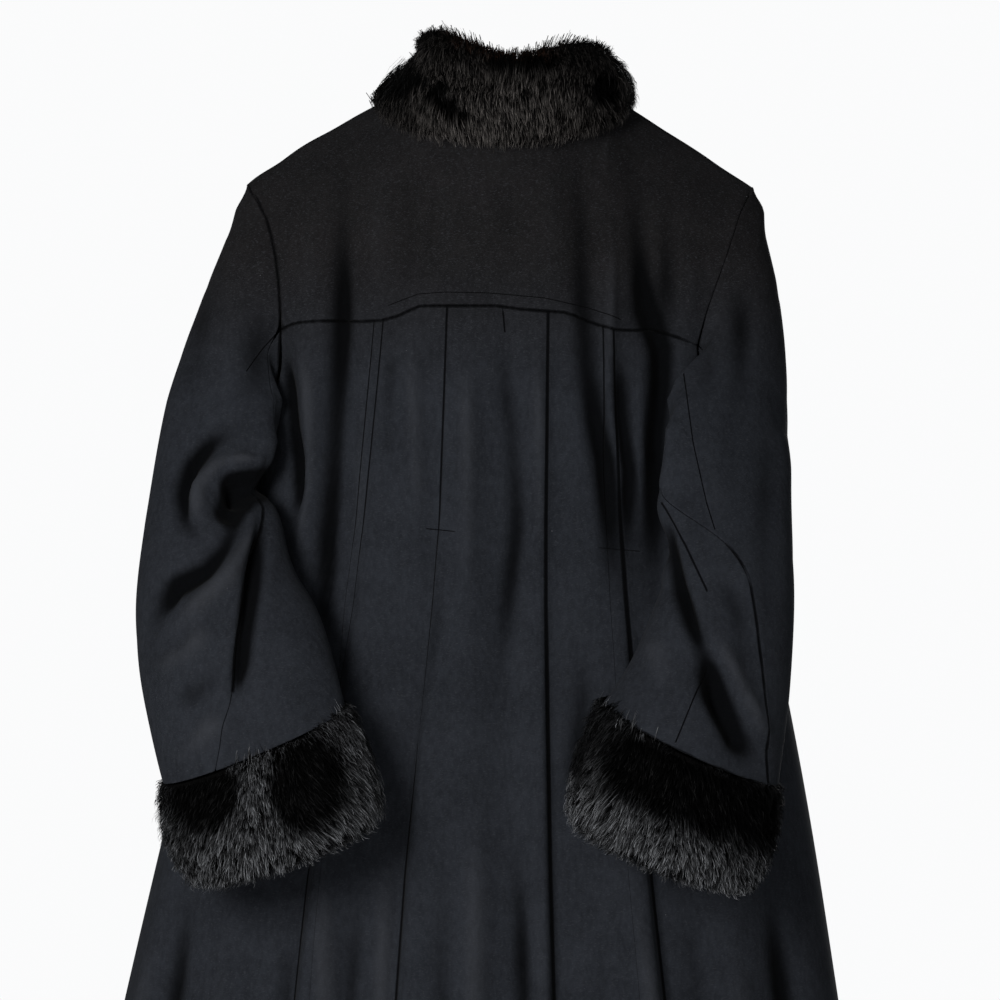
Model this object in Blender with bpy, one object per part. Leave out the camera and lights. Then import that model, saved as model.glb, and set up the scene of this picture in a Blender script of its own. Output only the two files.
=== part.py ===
# Long wool coat with a stand-up fur collar and deep fur cuffs.
# It is filled out with no wearer, as it hangs from the shoulders.
# Metres, +Z up. The wearer's back faces +Y and the wearer's left side is +X.
# The origin is the middle of the neck opening, level with the tops of the shoulders.
import math

import bmesh
import bpy
import numpy as np
from mathutils.bvhtree import BVHTree

WOOL = 0.0025
SEAM_GAP = 0.0003
ARMHOLE_GAP = 0.0004
SLEEVE_GAP = 0.0005
SIDE_GAP = 0.0004
UNDERARM_Z = -0.315
CHEST_Z = -0.200
HEM_Z = -1.120
NECK_Z = 0.003
NECK_LEFT = 0.100
NECK_RIGHT = 0.098
NECK_BACK = 0.070
NECK_FRONT = 0.086
NECK_DROP_BACK = 0.029
NECK_DROP_FRONT = 0.090
FRONT_LAP_LEFT = 0.012
FRONT_LAP_RIGHT = 0.024
LAP_LIFT = 0.0036
LAP_START = -0.040
LAP_END = -0.018
SIDE_FADE = 0.35
SHOULDER_ROUND = 0.200
YOKE_ROUND = (0.35, 0.80)
YOKE_ROUND_SPAN = (0.05, 0.13)
FRONT_ROUND = (0.25, 0.75)
FRONT_ROUND_SPAN = (0.03, 0.13)
SLEEVE_CLEARANCE = 0.0045
SETTLE_TURNS = 9
SETTLE_ROWS = 12
FADE_ROWS = 3
WAY_TURNS = 5
COLLAR_CLEARANCE = 0.0030
COLLAR_RISE = 0.0015
COLLAR_DEPTH = 0.026
COLLAR_SHOULDER = 0.018
COLLAR_RIM = 0.008
COLLAR_UNDERCUT = 0.012
COLLAR_BACK_PULL = 1.1
COLLAR_STEPS = 37
FOLD_TIP = 0.45
FOLD_END = 0.16
SWELL_ANGLE = math.radians(130)
SWELL_WIDTH = math.radians(45)
SWELL_IN = 0.9
SWELL_BACK = 0.3
ANGLE_SETTLE = (-1.0, 6.0)
SHAPE_SETTLE = (-1.0, 2.6)
FRONT_SEAM_ANGLE = math.radians(238)
CUFF_GAP = 0.0006
CUFF_PROUD = 0.0020
CUFF_INSIDE = 0.0030

SHOULDER_STEPS = 12
NECK_BACK_STEPS = 18
NECK_FRONT_STEPS = 6
YOKE_ROWS = 7
ARMHOLE_ROWS = 5
SLEEVE_ROWS = 18
FRONT_SEAM_COLUMN = YOKE_ROWS + ARMHOLE_ROWS + 3
BACK_BANDS = (9, 1, 5, 1, 10, 1, 5, 1, 9)
LEVEL_DROPS = (0.0, 0.035, 0.085, 0.145, 0.210, 0.280, 0.350, 0.425, 0.505, 0.590, 0.680, 0.740)
EDGE_COLUMNS = 3
EDGE_SHARE = 1 / 3
FOLD_RISE = 0.45
ROW_CROWDING = 1.3
COLUMN_CROWDING = 1.4


def table(names, *rows):
    columns = zip(*rows)
    return {name: np.array(column, dtype=float) for name, column in zip(names.split(), columns)}


# Half widths and half depths of the body, from the chest down.
BODY = table(
    "z left right back front square",
    (-1.120, 0.412, 0.346, 0.200, 0.188, 2.1),
    (-0.960, 0.372, 0.322, 0.186, 0.172, 2.1),
    (-0.792, 0.334, 0.296, 0.168, 0.156, 2.2),
    (-0.660, 0.303, 0.276, 0.150, 0.142, 2.2),
    (-0.528, 0.271, 0.252, 0.132, 0.128, 2.3),
    (-0.400, 0.239, 0.224, 0.115, 0.116, 2.4),
    (-0.315, 0.219, 0.204, 0.106, 0.110, 2.5),
    (-0.200, 0.214, 0.198, 0.106, 0.106, 2.5),
    (-0.120, 0.214, 0.198, 0.102, 0.100, 2.5),
)

# Shoulder seam from the sleeve head to the neck.
SHOULDER = table(
    "step z left right",
    (0.00, -0.0775, 0.2226, 0.2165),
    (0.12, -0.0669, 0.2130, 0.2033),
    (0.28, -0.0528, 0.1962, 0.1857),
    (0.43, -0.0387, 0.1769, 0.1646),
    (0.62, -0.0246, 0.1505, 0.1417),
    (0.81, -0.0106, 0.1267, 0.1206),
    (1.00, NECK_Z, NECK_LEFT, NECK_RIGHT),
)

# Back yoke seam, with its raised middle.
YOKE_SEAM = table(
    "x z",
    (-0.1716, -0.2156),
    (-0.156, -0.209),
    (-0.138, -0.202),
    (-0.103, -0.203),
    (-0.085, -0.198),
    (-0.068, -0.191),
    (-0.059, -0.187),
    (-0.015, -0.184),
    (0.003, -0.181),
    (0.073, -0.181),
    (0.082, -0.185),
    (0.095, -0.191),
    (0.113, -0.195),
    (0.161, -0.194),
    (0.183, -0.196),
    (0.1954, -0.2015),
)

# Armhole seam above the chest line, on the back and on the front.
ARMHOLE = table(
    "drop left right front_left front_right",
    (0.00, 0.2226, 0.2165, 0.2226, 0.2165),
    (0.18, 0.2100, 0.2085, 0.2060, 0.2000),
    (0.38, 0.2030, 0.2000, 0.1960, 0.1890),
    (0.60, 0.1985, 0.1890, 0.1900, 0.1800),
    (0.80, 0.1965, 0.1790, 0.1870, 0.1750),
    (1.00, 0.1954, 0.1716, 0.1860, 0.1730),
)

# Knife pleats of the back. The edges face the sides, so the middle lies on top.
PLEAT_DEPTH = table(
    "z depth width",
    (-1.120, 0.0230, 0.0060),
    (-0.680, 0.0130, 0.0045),
    (-0.450, 0.0070, 0.0035),
    (-0.370, 0.0045, 0.0030),
    (-0.260, 0.0040, 0.0030),
    (-0.180, 0.0000, 0.0030),
)
PLEAT_LINES = table(
    "z left_outer left_inner right_inner right_outer",
    (-1.120, 0.222, 0.115, -0.055, -0.185),
    (-0.792, 0.184, 0.094, -0.045, -0.142),
    (-0.680, 0.171, 0.086, -0.042, -0.130),
    (-0.440, 0.131, 0.062, -0.038, -0.109),
    (-0.370, 0.122, 0.056, -0.038, -0.105),
    (-0.180, 0.104, 0.049, -0.040, -0.096),
)

# Soft folds, each a ridge or a trough along a line seen from behind.
BACK_FOLDS = table(
    "x0 z0 x1 z1 height width",
    (0.142, -0.080, 0.139, -0.470, -0.0090, 0.017),
    (0.170, -0.200, 0.172, -0.440, 0.0060, 0.014),
    (0.082, -0.290, 0.080, -0.480, 0.0050, 0.013),
    (0.030, -0.270, 0.034, -0.560, 0.0050, 0.014),
    (-0.001, -0.330, -0.010, -1.090, -0.0080, 0.017),
    (-0.066, -0.060, -0.070, -0.190, -0.0050, 0.018),
    (-0.084, -0.260, -0.082, -0.400, -0.0040, 0.010),
    (-0.118, -0.070, -0.122, -0.200, -0.0050, 0.014),
    (-0.125, -0.220, -0.128, -0.400, 0.0050, 0.010),
    (-0.143, -0.230, -0.140, -0.420, -0.0080, 0.010),
    (0.138, -0.640, 0.160, -1.120, -0.0070, 0.016),
    (0.292, -0.740, 0.375, -1.120, -0.0110, 0.020),
    (0.325, -0.860, 0.400, -1.120, 0.0080, 0.018),
    (0.235, -0.760, 0.290, -1.120, 0.0090, 0.024),
    (0.065, -0.560, 0.085, -1.120, 0.0050, 0.016),
    (-0.245, -0.700, -0.275, -1.120, -0.0100, 0.018),
    (-0.200, -0.760, -0.235, -1.120, 0.0080, 0.022),
    (-0.095, -0.640, -0.120, -1.120, 0.0050, 0.022),
)
FRONT_FOLDS = table(
    "x0 z0 x1 z1 height width",
    (0.150, -0.090, 0.160, -0.330, -0.0050, 0.018),
    (-0.140, -0.090, -0.150, -0.310, -0.0050, 0.018),
    (0.115, -0.420, 0.190, -1.120, 0.0110, 0.028),
    (0.185, -0.480, 0.300, -1.120, -0.0110, 0.026),
    (0.070, -0.560, 0.095, -1.120, -0.0080, 0.024),
    (-0.105, -0.440, -0.150, -1.120, 0.0110, 0.028),
    (-0.165, -0.460, -0.250, -1.120, -0.0110, 0.026),
    (-0.060, -0.600, -0.085, -1.120, -0.0080, 0.022),
)

# Sleeve rings after the armhole. Each has an outer and an inner edge point, seen from
# behind, the depth of the ring, the place of the back seam around it in degrees and how
# far its cloth swells toward the middle of the back.
LEFT_SLEEVE = table(
    "outer_x outer_z outer_y inner_x inner_z inner_y depth tilt seam swell",
    (0.2360, -0.0990, 0.002, 0.230, -0.328, 0.005, 0.060, -0.10, 100, 0.000),
    (0.2520, -0.1400, 0.006, 0.236, -0.342, 0.014, 0.060, -0.25, 106, 0.008),
    (0.2680, -0.1820, 0.014, 0.234, -0.354, 0.028, 0.058, -0.40, 112, 0.022),
    (0.2830, -0.2240, 0.023, 0.228, -0.366, 0.046, 0.056, -0.50, 115, 0.042),
    (0.2957, -0.2640, 0.034, 0.218, -0.378, 0.064, 0.054, -0.50, 116, 0.054),
    (0.3062, -0.3168, 0.052, 0.206, -0.392, 0.086, 0.053, -0.45, 122, 0.050),
    (0.3133, -0.3652, 0.072, 0.193, -0.408, 0.106, 0.053, -0.35, 128, 0.024),
    (0.3194, -0.4092, 0.094, 0.179, -0.422, 0.126, 0.054, -0.25, 120, 0.006),
    (0.3230, -0.4620, 0.118, 0.166, -0.440, 0.145, 0.055, -0.15, 110, 0.000),
    (0.3200, -0.5060, 0.136, 0.156, -0.463, 0.160, 0.055, -0.05, 98, 0.000),
    (0.3124, -0.5456, 0.151, 0.147, -0.493, 0.172, 0.054, 0.04, 88, 0.000),
    (0.3054, -0.5764, 0.162, 0.141, -0.516, 0.182, 0.053, 0.12, 76, 0.000),
    (0.2992, -0.6002, 0.170, 0.136, -0.534, 0.189, 0.052, 0.18, 66, 0.000),
)
RIGHT_SLEEVE = table(
    "outer_x outer_z outer_y inner_x inner_z inner_y depth tilt seam swell",
    (-0.2290, -0.1020, 0.003, -0.215, -0.328, 0.005, 0.060, -0.10, 104, 0.002),
    (-0.2360, -0.1400, 0.010, -0.221, -0.342, 0.014, 0.061, -0.25, 112, 0.008),
    (-0.2430, -0.1820, 0.018, -0.219, -0.354, 0.028, 0.060, -0.40, 120, 0.028),
    (-0.2470, -0.2240, 0.028, -0.212, -0.366, 0.047, 0.058, -0.50, 126, 0.058),
    (-0.2500, -0.2640, 0.040, -0.200, -0.376, 0.068, 0.055, -0.50, 129, 0.078),
    (-0.2520, -0.3080, 0.056, -0.182, -0.380, 0.093, 0.053, -0.45, 126, 0.072),
    (-0.2530, -0.3520, 0.074, -0.166, -0.390, 0.115, 0.052, -0.35, 114, 0.044),
    (-0.2540, -0.3960, 0.093, -0.153, -0.404, 0.133, 0.052, -0.25, 102, 0.014),
    (-0.2545, -0.4440, 0.111, -0.142, -0.424, 0.148, 0.053, -0.15, 86, 0.000),
    (-0.2535, -0.4880, 0.128, -0.130, -0.453, 0.161, 0.053, -0.06, 70, 0.000),
    (-0.2510, -0.5320, 0.146, -0.117, -0.482, 0.174, 0.053, 0.03, 54, 0.000),
    (-0.2464, -0.5700, 0.160, -0.100, -0.511, 0.184, 0.053, 0.11, 40, 0.000),
    (-0.2420, -0.6028, 0.169, -0.084, -0.530, 0.190, 0.052, 0.18, 28, 0.000),
)
# Fur cuffs, out to the tips of the fur.
LEFT_CUFF = table(
    "outer_x outer_z outer_y inner_x inner_z inner_y depth tilt wall",
    (0.3015, -0.6160, 0.175, 0.1250, -0.5530, 0.194, 0.0630, 0.20, 0.0190),
    (0.2995, -0.6400, 0.182, 0.1140, -0.5800, 0.202, 0.0660, 0.22, 0.0250),
    (0.2880, -0.6690, 0.190, 0.1070, -0.6110, 0.211, 0.0650, 0.24, 0.0240),
    (0.2700, -0.6910, 0.197, 0.1060, -0.6330, 0.218, 0.0580, 0.25, 0.0160),
)
RIGHT_CUFF = table(
    "outer_x outer_z outer_y inner_x inner_z inner_y depth tilt wall",
    (-0.2440, -0.6190, 0.174, -0.0740, -0.5480, 0.195, 0.0630, 0.20, 0.0190),
    (-0.2420, -0.6430, 0.181, -0.0620, -0.5800, 0.203, 0.0660, 0.22, 0.0250),
    (-0.2310, -0.6740, 0.189, -0.0560, -0.6140, 0.212, 0.0650, 0.24, 0.0240),
    (-0.2160, -0.6960, 0.196, -0.0580, -0.6370, 0.219, 0.0580, 0.25, 0.0160),
)
# Sleeve creases seen from behind: the elbow's hollow and the long soft folds.
SLEEVE_FOLDS = table(
    "x0 z0 x1 z1 height width",
    (0.2500, -0.335, 0.2700, -0.362, -0.0110, 0.014),
    (0.2250, -0.350, 0.2400, -0.440, 0.0070, 0.012),
    (0.3000, -0.430, 0.2450, -0.490, -0.0050, 0.012),
    (0.2900, -0.500, 0.2550, -0.480, 0.0050, 0.013),
    (-0.1580, -0.400, -0.1740, -0.500, 0.0060, 0.014),
    (-0.1740, -0.500, -0.2250, -0.590, -0.0080, 0.012),
)
# Collar sections by the angle around the neck from the middle of the back.
COLLAR = table(
    "angle top_z lean shift hang_out drop",
    (-156, -0.032, 0.004, -0.003, 0.009, 0.006),
    (-135, -0.012, 0.008, -0.008, 0.007, 0.008),
    (-90, 0.034, 0.014, -0.011, 0.004, 0.018),
    (-55, 0.052, 0.016, -0.004, 0.010, 0.020),
    (-25, 0.047, 0.012, 0.000, 0.011, 0.020),
    (0, 0.042, 0.008, 0.000, 0.011, 0.020),
    (25, 0.054, 0.012, 0.000, 0.011, 0.020),
    (45, 0.063, 0.016, -0.002, 0.010, 0.020),
    (90, 0.038, 0.014, -0.011, 0.004, 0.018),
    (135, -0.012, 0.008, -0.008, 0.007, 0.008),
    (156, -0.032, 0.004, -0.003, 0.009, 0.006),
)

MATERIALS = {
    "wool": ((0.012, 0.012, 0.014), 0.92),
    "fur": ((0.020, 0.018, 0.017), 0.55),
}


def curve(tab, key, name, value):
    # Smooth cubic through a table's rows, whose key column rises.
    xs = tab[key]
    ys = tab[name]
    value = min(max(value, xs[0]), xs[-1])
    low = int(np.clip(np.searchsorted(xs, value) - 1, 0, len(xs) - 2))
    slopes = np.gradient(ys, xs)
    span = xs[low + 1] - xs[low]
    t = (value - xs[low]) / span
    start = (1 + 2 * t) * (1 - t) ** 2 * ys[low] + t * (1 - t) ** 2 * span * slopes[low]
    end = t * t * (3 - 2 * t) * ys[low + 1] + t * t * (t - 1) * span * slopes[low + 1]
    return start + end


def line(tab, key, name, value):
    return float(np.interp(value, tab[key], tab[name]))


def unit(vector):
    return vector / max(np.linalg.norm(vector), 1e-9)


def smoothstep(low, high, value):
    t = min(max((value - low) / (high - low), 0.0), 1.0)
    return t * t * (3 - 2 * t)


def half_sizes(x, y, z):
    width = curve(BODY, "z", "left" if x >= 0 else "right", z)
    depth = curve(BODY, "z", "back" if y >= 0 else "front", z)
    return width, depth


def outward(point):
    # The way out of the body at a point. Neighbouring pieces share it at their seams.
    x, y, z = point
    width, depth = half_sizes(x, y, z)
    rise = max(z - CHEST_Z, 0.0) / SHOULDER_ROUND ** 2
    return unit(np.array((x / width ** 2, y / depth ** 2, rise)))


def fold_height(folds, x, z):
    # Sum of soft ridges and troughs along straight lines in the view from behind.
    total = 0.0
    for x0, z0, x1, z1, height, width in zip(*(folds[name] for name in folds)):
        length = (x1 - x0) ** 2 + (z1 - z0) ** 2
        along = min(max(((x - x0) * (x1 - x0) + (z - z0) * (z1 - z0)) / length, 0.0), 1.0)
        dx = x - x0 - along * (x1 - x0)
        dz = (z - z0 - along * (z1 - z0)) * FOLD_TIP
        ends = math.sin(math.pi * (FOLD_END + (1 - 2 * FOLD_END) * along))
        total += height * ends * math.exp(-(dx * dx + dz * dz) / width ** 2)
    return total


def pleat_height(x, z):
    # Each pleat drops at its line, then the cloth climbs back toward the side.
    depth = line(PLEAT_DEPTH, "z", "depth", z)
    width = line(PLEAT_DEPTH, "z", "width", z)
    side = "left" if x > 0 else "right"
    sign = 1 if x > 0 else -1
    reach = abs(x)
    inner = sign * curve(PLEAT_LINES, "z", side + "_inner", z)
    outer = sign * curve(PLEAT_LINES, "z", side + "_outer", z)
    edge = curve(BODY, "z", side, z)
    drop = 0.0
    for start, end in ((inner, outer), (outer, edge)):
        if start - width < reach < end - width:
            down = smoothstep(start - width, start + width, reach)
            climb = smoothstep(start + width, end - width, reach)
            drop = depth * down * (1 - climb)
    return -drop


def section_point(theta, z):
    # A point of the plain body section. The angle is 0 at the middle of the back.
    sine = math.sin(theta)
    cosine = math.cos(theta)
    width, depth = half_sizes(sine, cosine, z)
    power = 2 / curve(BODY, "z", "square", z)
    x = math.copysign(width * abs(sine) ** power, sine)
    y = math.copysign(depth * abs(cosine) ** power, cosine)
    return np.array((x, y, z))


def section_angle(x, z, front=False):
    # The section angle of a place across the back or across the front.
    width = curve(BODY, "z", "left" if x >= 0 else "right", z)
    sine = min(abs(x) / width, 1.0) ** (curve(BODY, "z", "square", z) / 2)
    angle = math.copysign(math.asin(sine), x)
    return math.copysign(math.pi, x) - angle if front else angle


def raised(point, height):
    return point + outward(point) * height


def back_point(theta, z):
    point = section_point(theta, z)
    fade = smoothstep(0.0, SIDE_FADE, math.cos(theta))
    height = fold_height(BACK_FOLDS, point[0], z) * fade + pleat_height(point[0], z)
    return raised(point, height)


def front_point(theta, z, lap):
    point = section_point(theta, z)
    fade = smoothstep(0.0, SIDE_FADE, -math.cos(theta))
    height = fold_height(FRONT_FOLDS, point[0], z) * fade
    return raised(point, height + lap * lap_lift(point[0]))


def lap_lift(x):
    # The right front lies over the left one, one wall further out.
    return LAP_LIFT * smoothstep(LAP_START, LAP_END, x)


def armhole_row(row, theta, top_z):
    # Lower armhole, from the chest down and forward to the side seam.
    turn = math.pi / 2 * row / ARMHOLE_ROWS
    side = math.copysign(math.pi / 2, theta)
    angle = theta + (side - theta) * (1 - math.cos(turn))
    return angle, top_z + (UNDERARM_Z - top_z) * math.sin(turn)


def lower_levels():
    drops = np.array(LEVEL_DROPS)
    return np.append(UNDERARM_Z - drops, HEM_Z)


def back_lines(z):
    # Section angles of the lines that the back's columns follow at one height.
    width = line(PLEAT_DEPTH, "z", "width", z)
    angles = [-math.pi / 2]
    for name in ("right_outer", "right_inner", "left_inner", "left_outer"):
        x = curve(PLEAT_LINES, "z", name, z)
        for place in (x - width, x + width):
            angles.append(section_angle(place, z))
    angles.append(math.pi / 2)
    return angles


def back_columns(z, left_edge, right_edge):
    # The columns nearest an armhole close up to reach its edge.
    angles = back_lines(z)
    columns = [angles[0]]
    for steps, start, end in zip(BACK_BANDS, angles, angles[1:]):
        for step in range(1, steps + 1):
            columns.append(start + (end - start) * step / steps)
    side = BACK_BANDS[0]
    for step in range(side):
        near = (1 - step / side) ** COLUMN_CROWDING
        columns[step] += (right_edge + math.pi / 2) * near
        columns[-1 - step] += (left_edge - math.pi / 2) * near
    return columns


def yoke_edge():
    # The yoke seam, one angle and height for each column of the back.
    left_end = section_angle(YOKE_SEAM["x"][-1], YOKE_SEAM["z"][-1])
    right_end = section_angle(YOKE_SEAM["x"][0], YOKE_SEAM["z"][0])
    columns = back_columns(CHEST_Z + 0.01, left_end, right_end)
    edge = []
    for theta in columns:
        z = CHEST_Z
        for _ in range(3):
            z = line(YOKE_SEAM, "x", "z", section_point(theta, z)[0])
        edge.append((theta, z))
    return edge


def back_grid():
    edge = yoke_edge()
    rows = []
    for row in range(ARMHOLE_ROWS + 1):
        turn = math.sin(math.pi / 2 * row / ARMHOLE_ROWS)
        left_angle, _ = armhole_row(row, *edge[-1])
        right_angle, _ = armhole_row(row, *edge[0])
        points = []
        for column, (theta, top_z) in enumerate(edge):
            z = top_z + (UNDERARM_Z - top_z) * turn
            angle = back_columns(z, left_angle, right_angle)[column]
            angle = theta + (angle - theta) * smoothstep(0, 2, row)
            points.append(back_point(angle, z))
        rows.append(points)
    for z in lower_levels()[1:]:
        columns = back_columns(z, math.pi / 2, -math.pi / 2)
        rows.append([back_point(theta, z) for theta in columns])
    return np.array(rows)


def shoulder_edge(side):
    # Points along the shoulder seam from the sleeve head to the neck.
    sign = 1 if side == "left" else -1
    points = []
    for step in range(SHOULDER_STEPS + 1):
        part = step / SHOULDER_STEPS
        x = sign * curve(SHOULDER, "step", side, part)
        points.append(np.array((x, 0.0, curve(SHOULDER, "step", "z", part))))
    return points


def neck_point(angle):
    # A point of the neck seam. The angle is 0 at the middle of the back.
    sine = math.sin(angle)
    cosine = math.cos(angle)
    width = NECK_LEFT if sine >= 0 else NECK_RIGHT
    depth = NECK_BACK if cosine >= 0 else NECK_FRONT
    drop = NECK_DROP_BACK if cosine >= 0 else NECK_DROP_FRONT
    return np.array((width * sine, depth * cosine, NECK_Z - drop * cosine ** 2))


def armhole_upper(side, front, bottom, drop):
    # The armhole seam from the shoulder to the chest line.
    name = "front_" + side if front else side
    top = shoulder_edge(side)[0]
    sign = 1 if side == "left" else -1
    z = top[2] + (bottom[2] - top[2]) * drop
    x = sign * curve(ARMHOLE, "drop", name, drop)
    x += (bottom[0] - sign * ARMHOLE[name][-1]) * drop
    y = top[1] + (bottom[1] - top[1]) * math.sqrt(1 - (1 - drop) ** 2)
    return np.array((x, y, z))


def roundness(x, ends, span):
    # How round a panel's line runs over the shoulder, from the neck out to the arm.
    return ends[0] + (ends[1] - ends[0]) * smoothstep(*span, abs(x))


def patch(top, bottom, first_side, last_side, rounds, folds, lap=0.0):
    # A panel between its top edge and bottom edge, rounded over the shoulder.
    rows = []
    count = len(top) - 1
    for row in range(YOKE_ROWS + 1):
        part = (row / YOKE_ROWS) ** ROW_CROWDING
        points = []
        ruled = []
        for column in range(count + 1):
            bulge = rounds[column]
            depth_part = (1 - bulge) * part + bulge * math.sqrt(1 - (1 - part) ** 2)
            point = top[column] * (1 - part) + bottom[column] * part
            point[1] = top[column][1] * (1 - depth_part) + bottom[column][1] * depth_part
            ruled.append(point)
        first_shift = first_side(part) - ruled[0]
        last_shift = last_side(part) - ruled[-1]
        for column, point in enumerate(ruled):
            across = column / count
            near_first = max(1 - across / EDGE_SHARE, 0.0)
            near_last = max(1 - (1 - across) / EDGE_SHARE, 0.0)
            point = point + first_shift * near_first + last_shift * near_last
            fade = math.sin(math.pi / 2 * min(part / FOLD_RISE, 1.0))
            inside = min(column, count - column, EDGE_COLUMNS) / EDGE_COLUMNS
            height = fold_height(folds, point[0], point[2]) * fade
            height *= 1 - (1 - inside) * (1 - part)
            points.append(raised(point, height + lap * lap_lift(point[0])))
        rows.append(points)
    return np.array(rows)


def yoke_grid(back):
    right = shoulder_edge("right")
    left = shoulder_edge("left")
    neck = []
    for step in range(1, NECK_BACK_STEPS):
        neck.append(neck_point(-math.pi / 2 + math.pi * step / NECK_BACK_STEPS))
    top = right + neck + left[::-1]
    rounds = [roundness(point[0], YOKE_ROUND, YOKE_ROUND_SPAN) for point in top]
    bottom = back[0]

    def right_side(part):
        return armhole_upper("right", False, bottom[0], part)

    def left_side(part):
        return armhole_upper("left", False, bottom[-1], part)

    grid = patch(top, bottom, right_side, left_side, rounds, BACK_FOLDS)
    grid[-1] = back[0]
    return grid


def front_grid(side):
    # A front from its armhole and side seam to the middle, top to hem.
    sign = 1 if side == "left" else -1
    lap = 0.0 if side == "left" else 1.0
    lap_x = -sign * (FRONT_LAP_LEFT if side == "left" else FRONT_LAP_RIGHT)
    steps = SHOULDER_STEPS + NECK_FRONT_STEPS
    edge_x = sign * ARMHOLE["front_" + side][-1]
    edge_angle = section_angle(edge_x, CHEST_Z, True)

    def end_angle(z):
        angle = section_angle(lap_x, z, True)
        return angle + sign * 2 * math.pi if angle * sign < 0 else angle

    def across(z, start):
        end = end_angle(z)
        angles = [start + (end - start) * step / steps for step in range(steps + 1)]
        return [front_point(angle, z, lap) for angle in angles]

    rows = []
    for row in range(ARMHOLE_ROWS + 1):
        angle, z = armhole_row(row, edge_angle, CHEST_Z)
        rows.append(across(z, angle))
    for z in lower_levels()[1:]:
        rows.append(across(z, sign * math.pi / 2))
    bottom = np.array(rows[0])
    neck_width = NECK_RIGHT if side == "left" else NECK_LEFT
    past = math.asin(abs(lap_x) / neck_width)
    neck = []
    for step in range(1, NECK_FRONT_STEPS + 1):
        turn = math.pi / 2 + (math.pi / 2 + past) * step / NECK_FRONT_STEPS
        neck.append(neck_point(sign * turn))
    top = shoulder_edge(side) + neck
    rounds = [roundness(point[0], FRONT_ROUND, FRONT_ROUND_SPAN) for point in top]

    def arm_side(part):
        return armhole_upper(side, True, bottom[0], part)

    def middle_side(part):
        return top[-1] * (1 - part) + bottom[-1] * part

    upper = patch(top, bottom, arm_side, middle_side, rounds, FRONT_FOLDS, lap)
    upper[-1] = bottom
    return np.concatenate((upper, np.array(rows[1:])))


def armhole_loop(yoke, back, front, side):
    # The armhole's points: shoulder, down the back, the underarm and up the front.
    column = -1 if side == "left" else 0
    loop = list(yoke[:, column])
    loop += list(back[1:ARMHOLE_ROWS + 1, column])
    upper = YOKE_ROWS + ARMHOLE_ROWS
    loop += list(front[upper - 1:0:-1, 0])
    return np.array(loop)


def ring_frame(tab, place):
    # Middle and half axes of a sleeve ring at a place between the table's rows.
    tab = dict(tab, row=np.arange(len(tab["depth"]), dtype=float))
    values = {name: curve(tab, "row", name, place) for name in tab}
    outer = np.array((values["outer_x"], values["outer_y"], values["outer_z"]))
    inner = np.array((values["inner_x"], values["inner_y"], values["inner_z"]))
    across = (outer - inner) / 2
    back = unit(np.array((0.0, 1.0, -values["tilt"])))
    back = unit(back - unit(across) * np.dot(back, unit(across)))
    return (outer + inner) / 2, across, back * values["depth"], values


def ring_point(middle, across, back, angle):
    return middle + across * math.cos(angle) + back * math.sin(angle)


def ring_outward(across, back, angle):
    wide = across * math.cos(angle) / np.dot(across, across)
    deep = back * math.sin(angle) / np.dot(back, back)
    return unit(wide + deep)


def clear_of_body(point, gap):
    # A sleeve lies against the body where it meets it, just clear of it.
    x, y, z = point
    width, depth = half_sizes(x, y, z)
    power = curve(BODY, "z", "square", z)
    if y > 0:
        gap = gap + max(fold_height(BACK_FOLDS, x, z), 0.0)
    inside = (abs(x) / (width + gap)) ** power + (abs(y) / (depth + gap)) ** power
    reach = inside ** (1 / power)
    if reach >= 1:
        return point
    push = 1 - smoothstep(CHEST_Z - 0.03, CHEST_Z, z)
    scale = 1 + (1 / reach - 1) * push
    return np.array((x * scale, y * scale, z))


def loop_angles(loop):
    # Ring angle of each armhole point: 0 at the shoulder, 180 degrees at the underarm.
    steps = np.linalg.norm(np.diff(np.vstack((loop, loop[:1])), axis=0), axis=1)
    half = YOKE_ROWS + ARMHOLE_ROWS
    down = np.cumsum(steps[:half]) / np.sum(steps[:half]) * math.pi
    up = math.pi + np.cumsum(steps[half:]) / np.sum(steps[half:]) * math.pi
    return np.concatenate(((0.0,), down, up[:-1]))


def even_angles(seam, count):
    # Ring angles with the back seam and the front seam at their places.
    under = FRONT_SEAM_COLUMN - YOKE_ROWS
    upper = count - under
    angles = np.zeros(count)
    for step in range(under + 1):
        angles[YOKE_ROWS + step] = seam + (FRONT_SEAM_ANGLE - seam) * step / under
    for step in range(1, upper):
        column = (FRONT_SEAM_COLUMN + step) % count
        angle = FRONT_SEAM_ANGLE + (seam + 2 * math.pi - FRONT_SEAM_ANGLE) * step / upper
        angles[column] = angle if FRONT_SEAM_COLUMN + step < count else angle - 2 * math.pi
    return angles


def share_armhole(side, yoke_ways, back_ways, front_ways, sleeve_ways):
    # Body and sleeve meet at one slope all round the armhole, half way between them.
    column = -1 if side == "left" else 0
    places = [(yoke_ways, row, column) for row in range(YOKE_ROWS + 1)]
    places += [(back_ways, row, column) for row in range(1, ARMHOLE_ROWS + 1)]
    upper = YOKE_ROWS + ARMHOLE_ROWS
    places += [(front_ways, row, 0) for row in range(upper - 1, 0, -1)]
    for index, (ways, row, edge) in enumerate(places):
        shared = unit(ways[row, edge] + sleeve_ways[0, index])
        ways[row, edge] = shared
        sleeve_ways[0, index] = shared
    back_ways[0, column] = yoke_ways[YOKE_ROWS, column]
    front_ways[upper, 0] = back_ways[ARMHOLE_ROWS, column]
    front_ways[0, 0] = yoke_ways[0, column]


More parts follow.
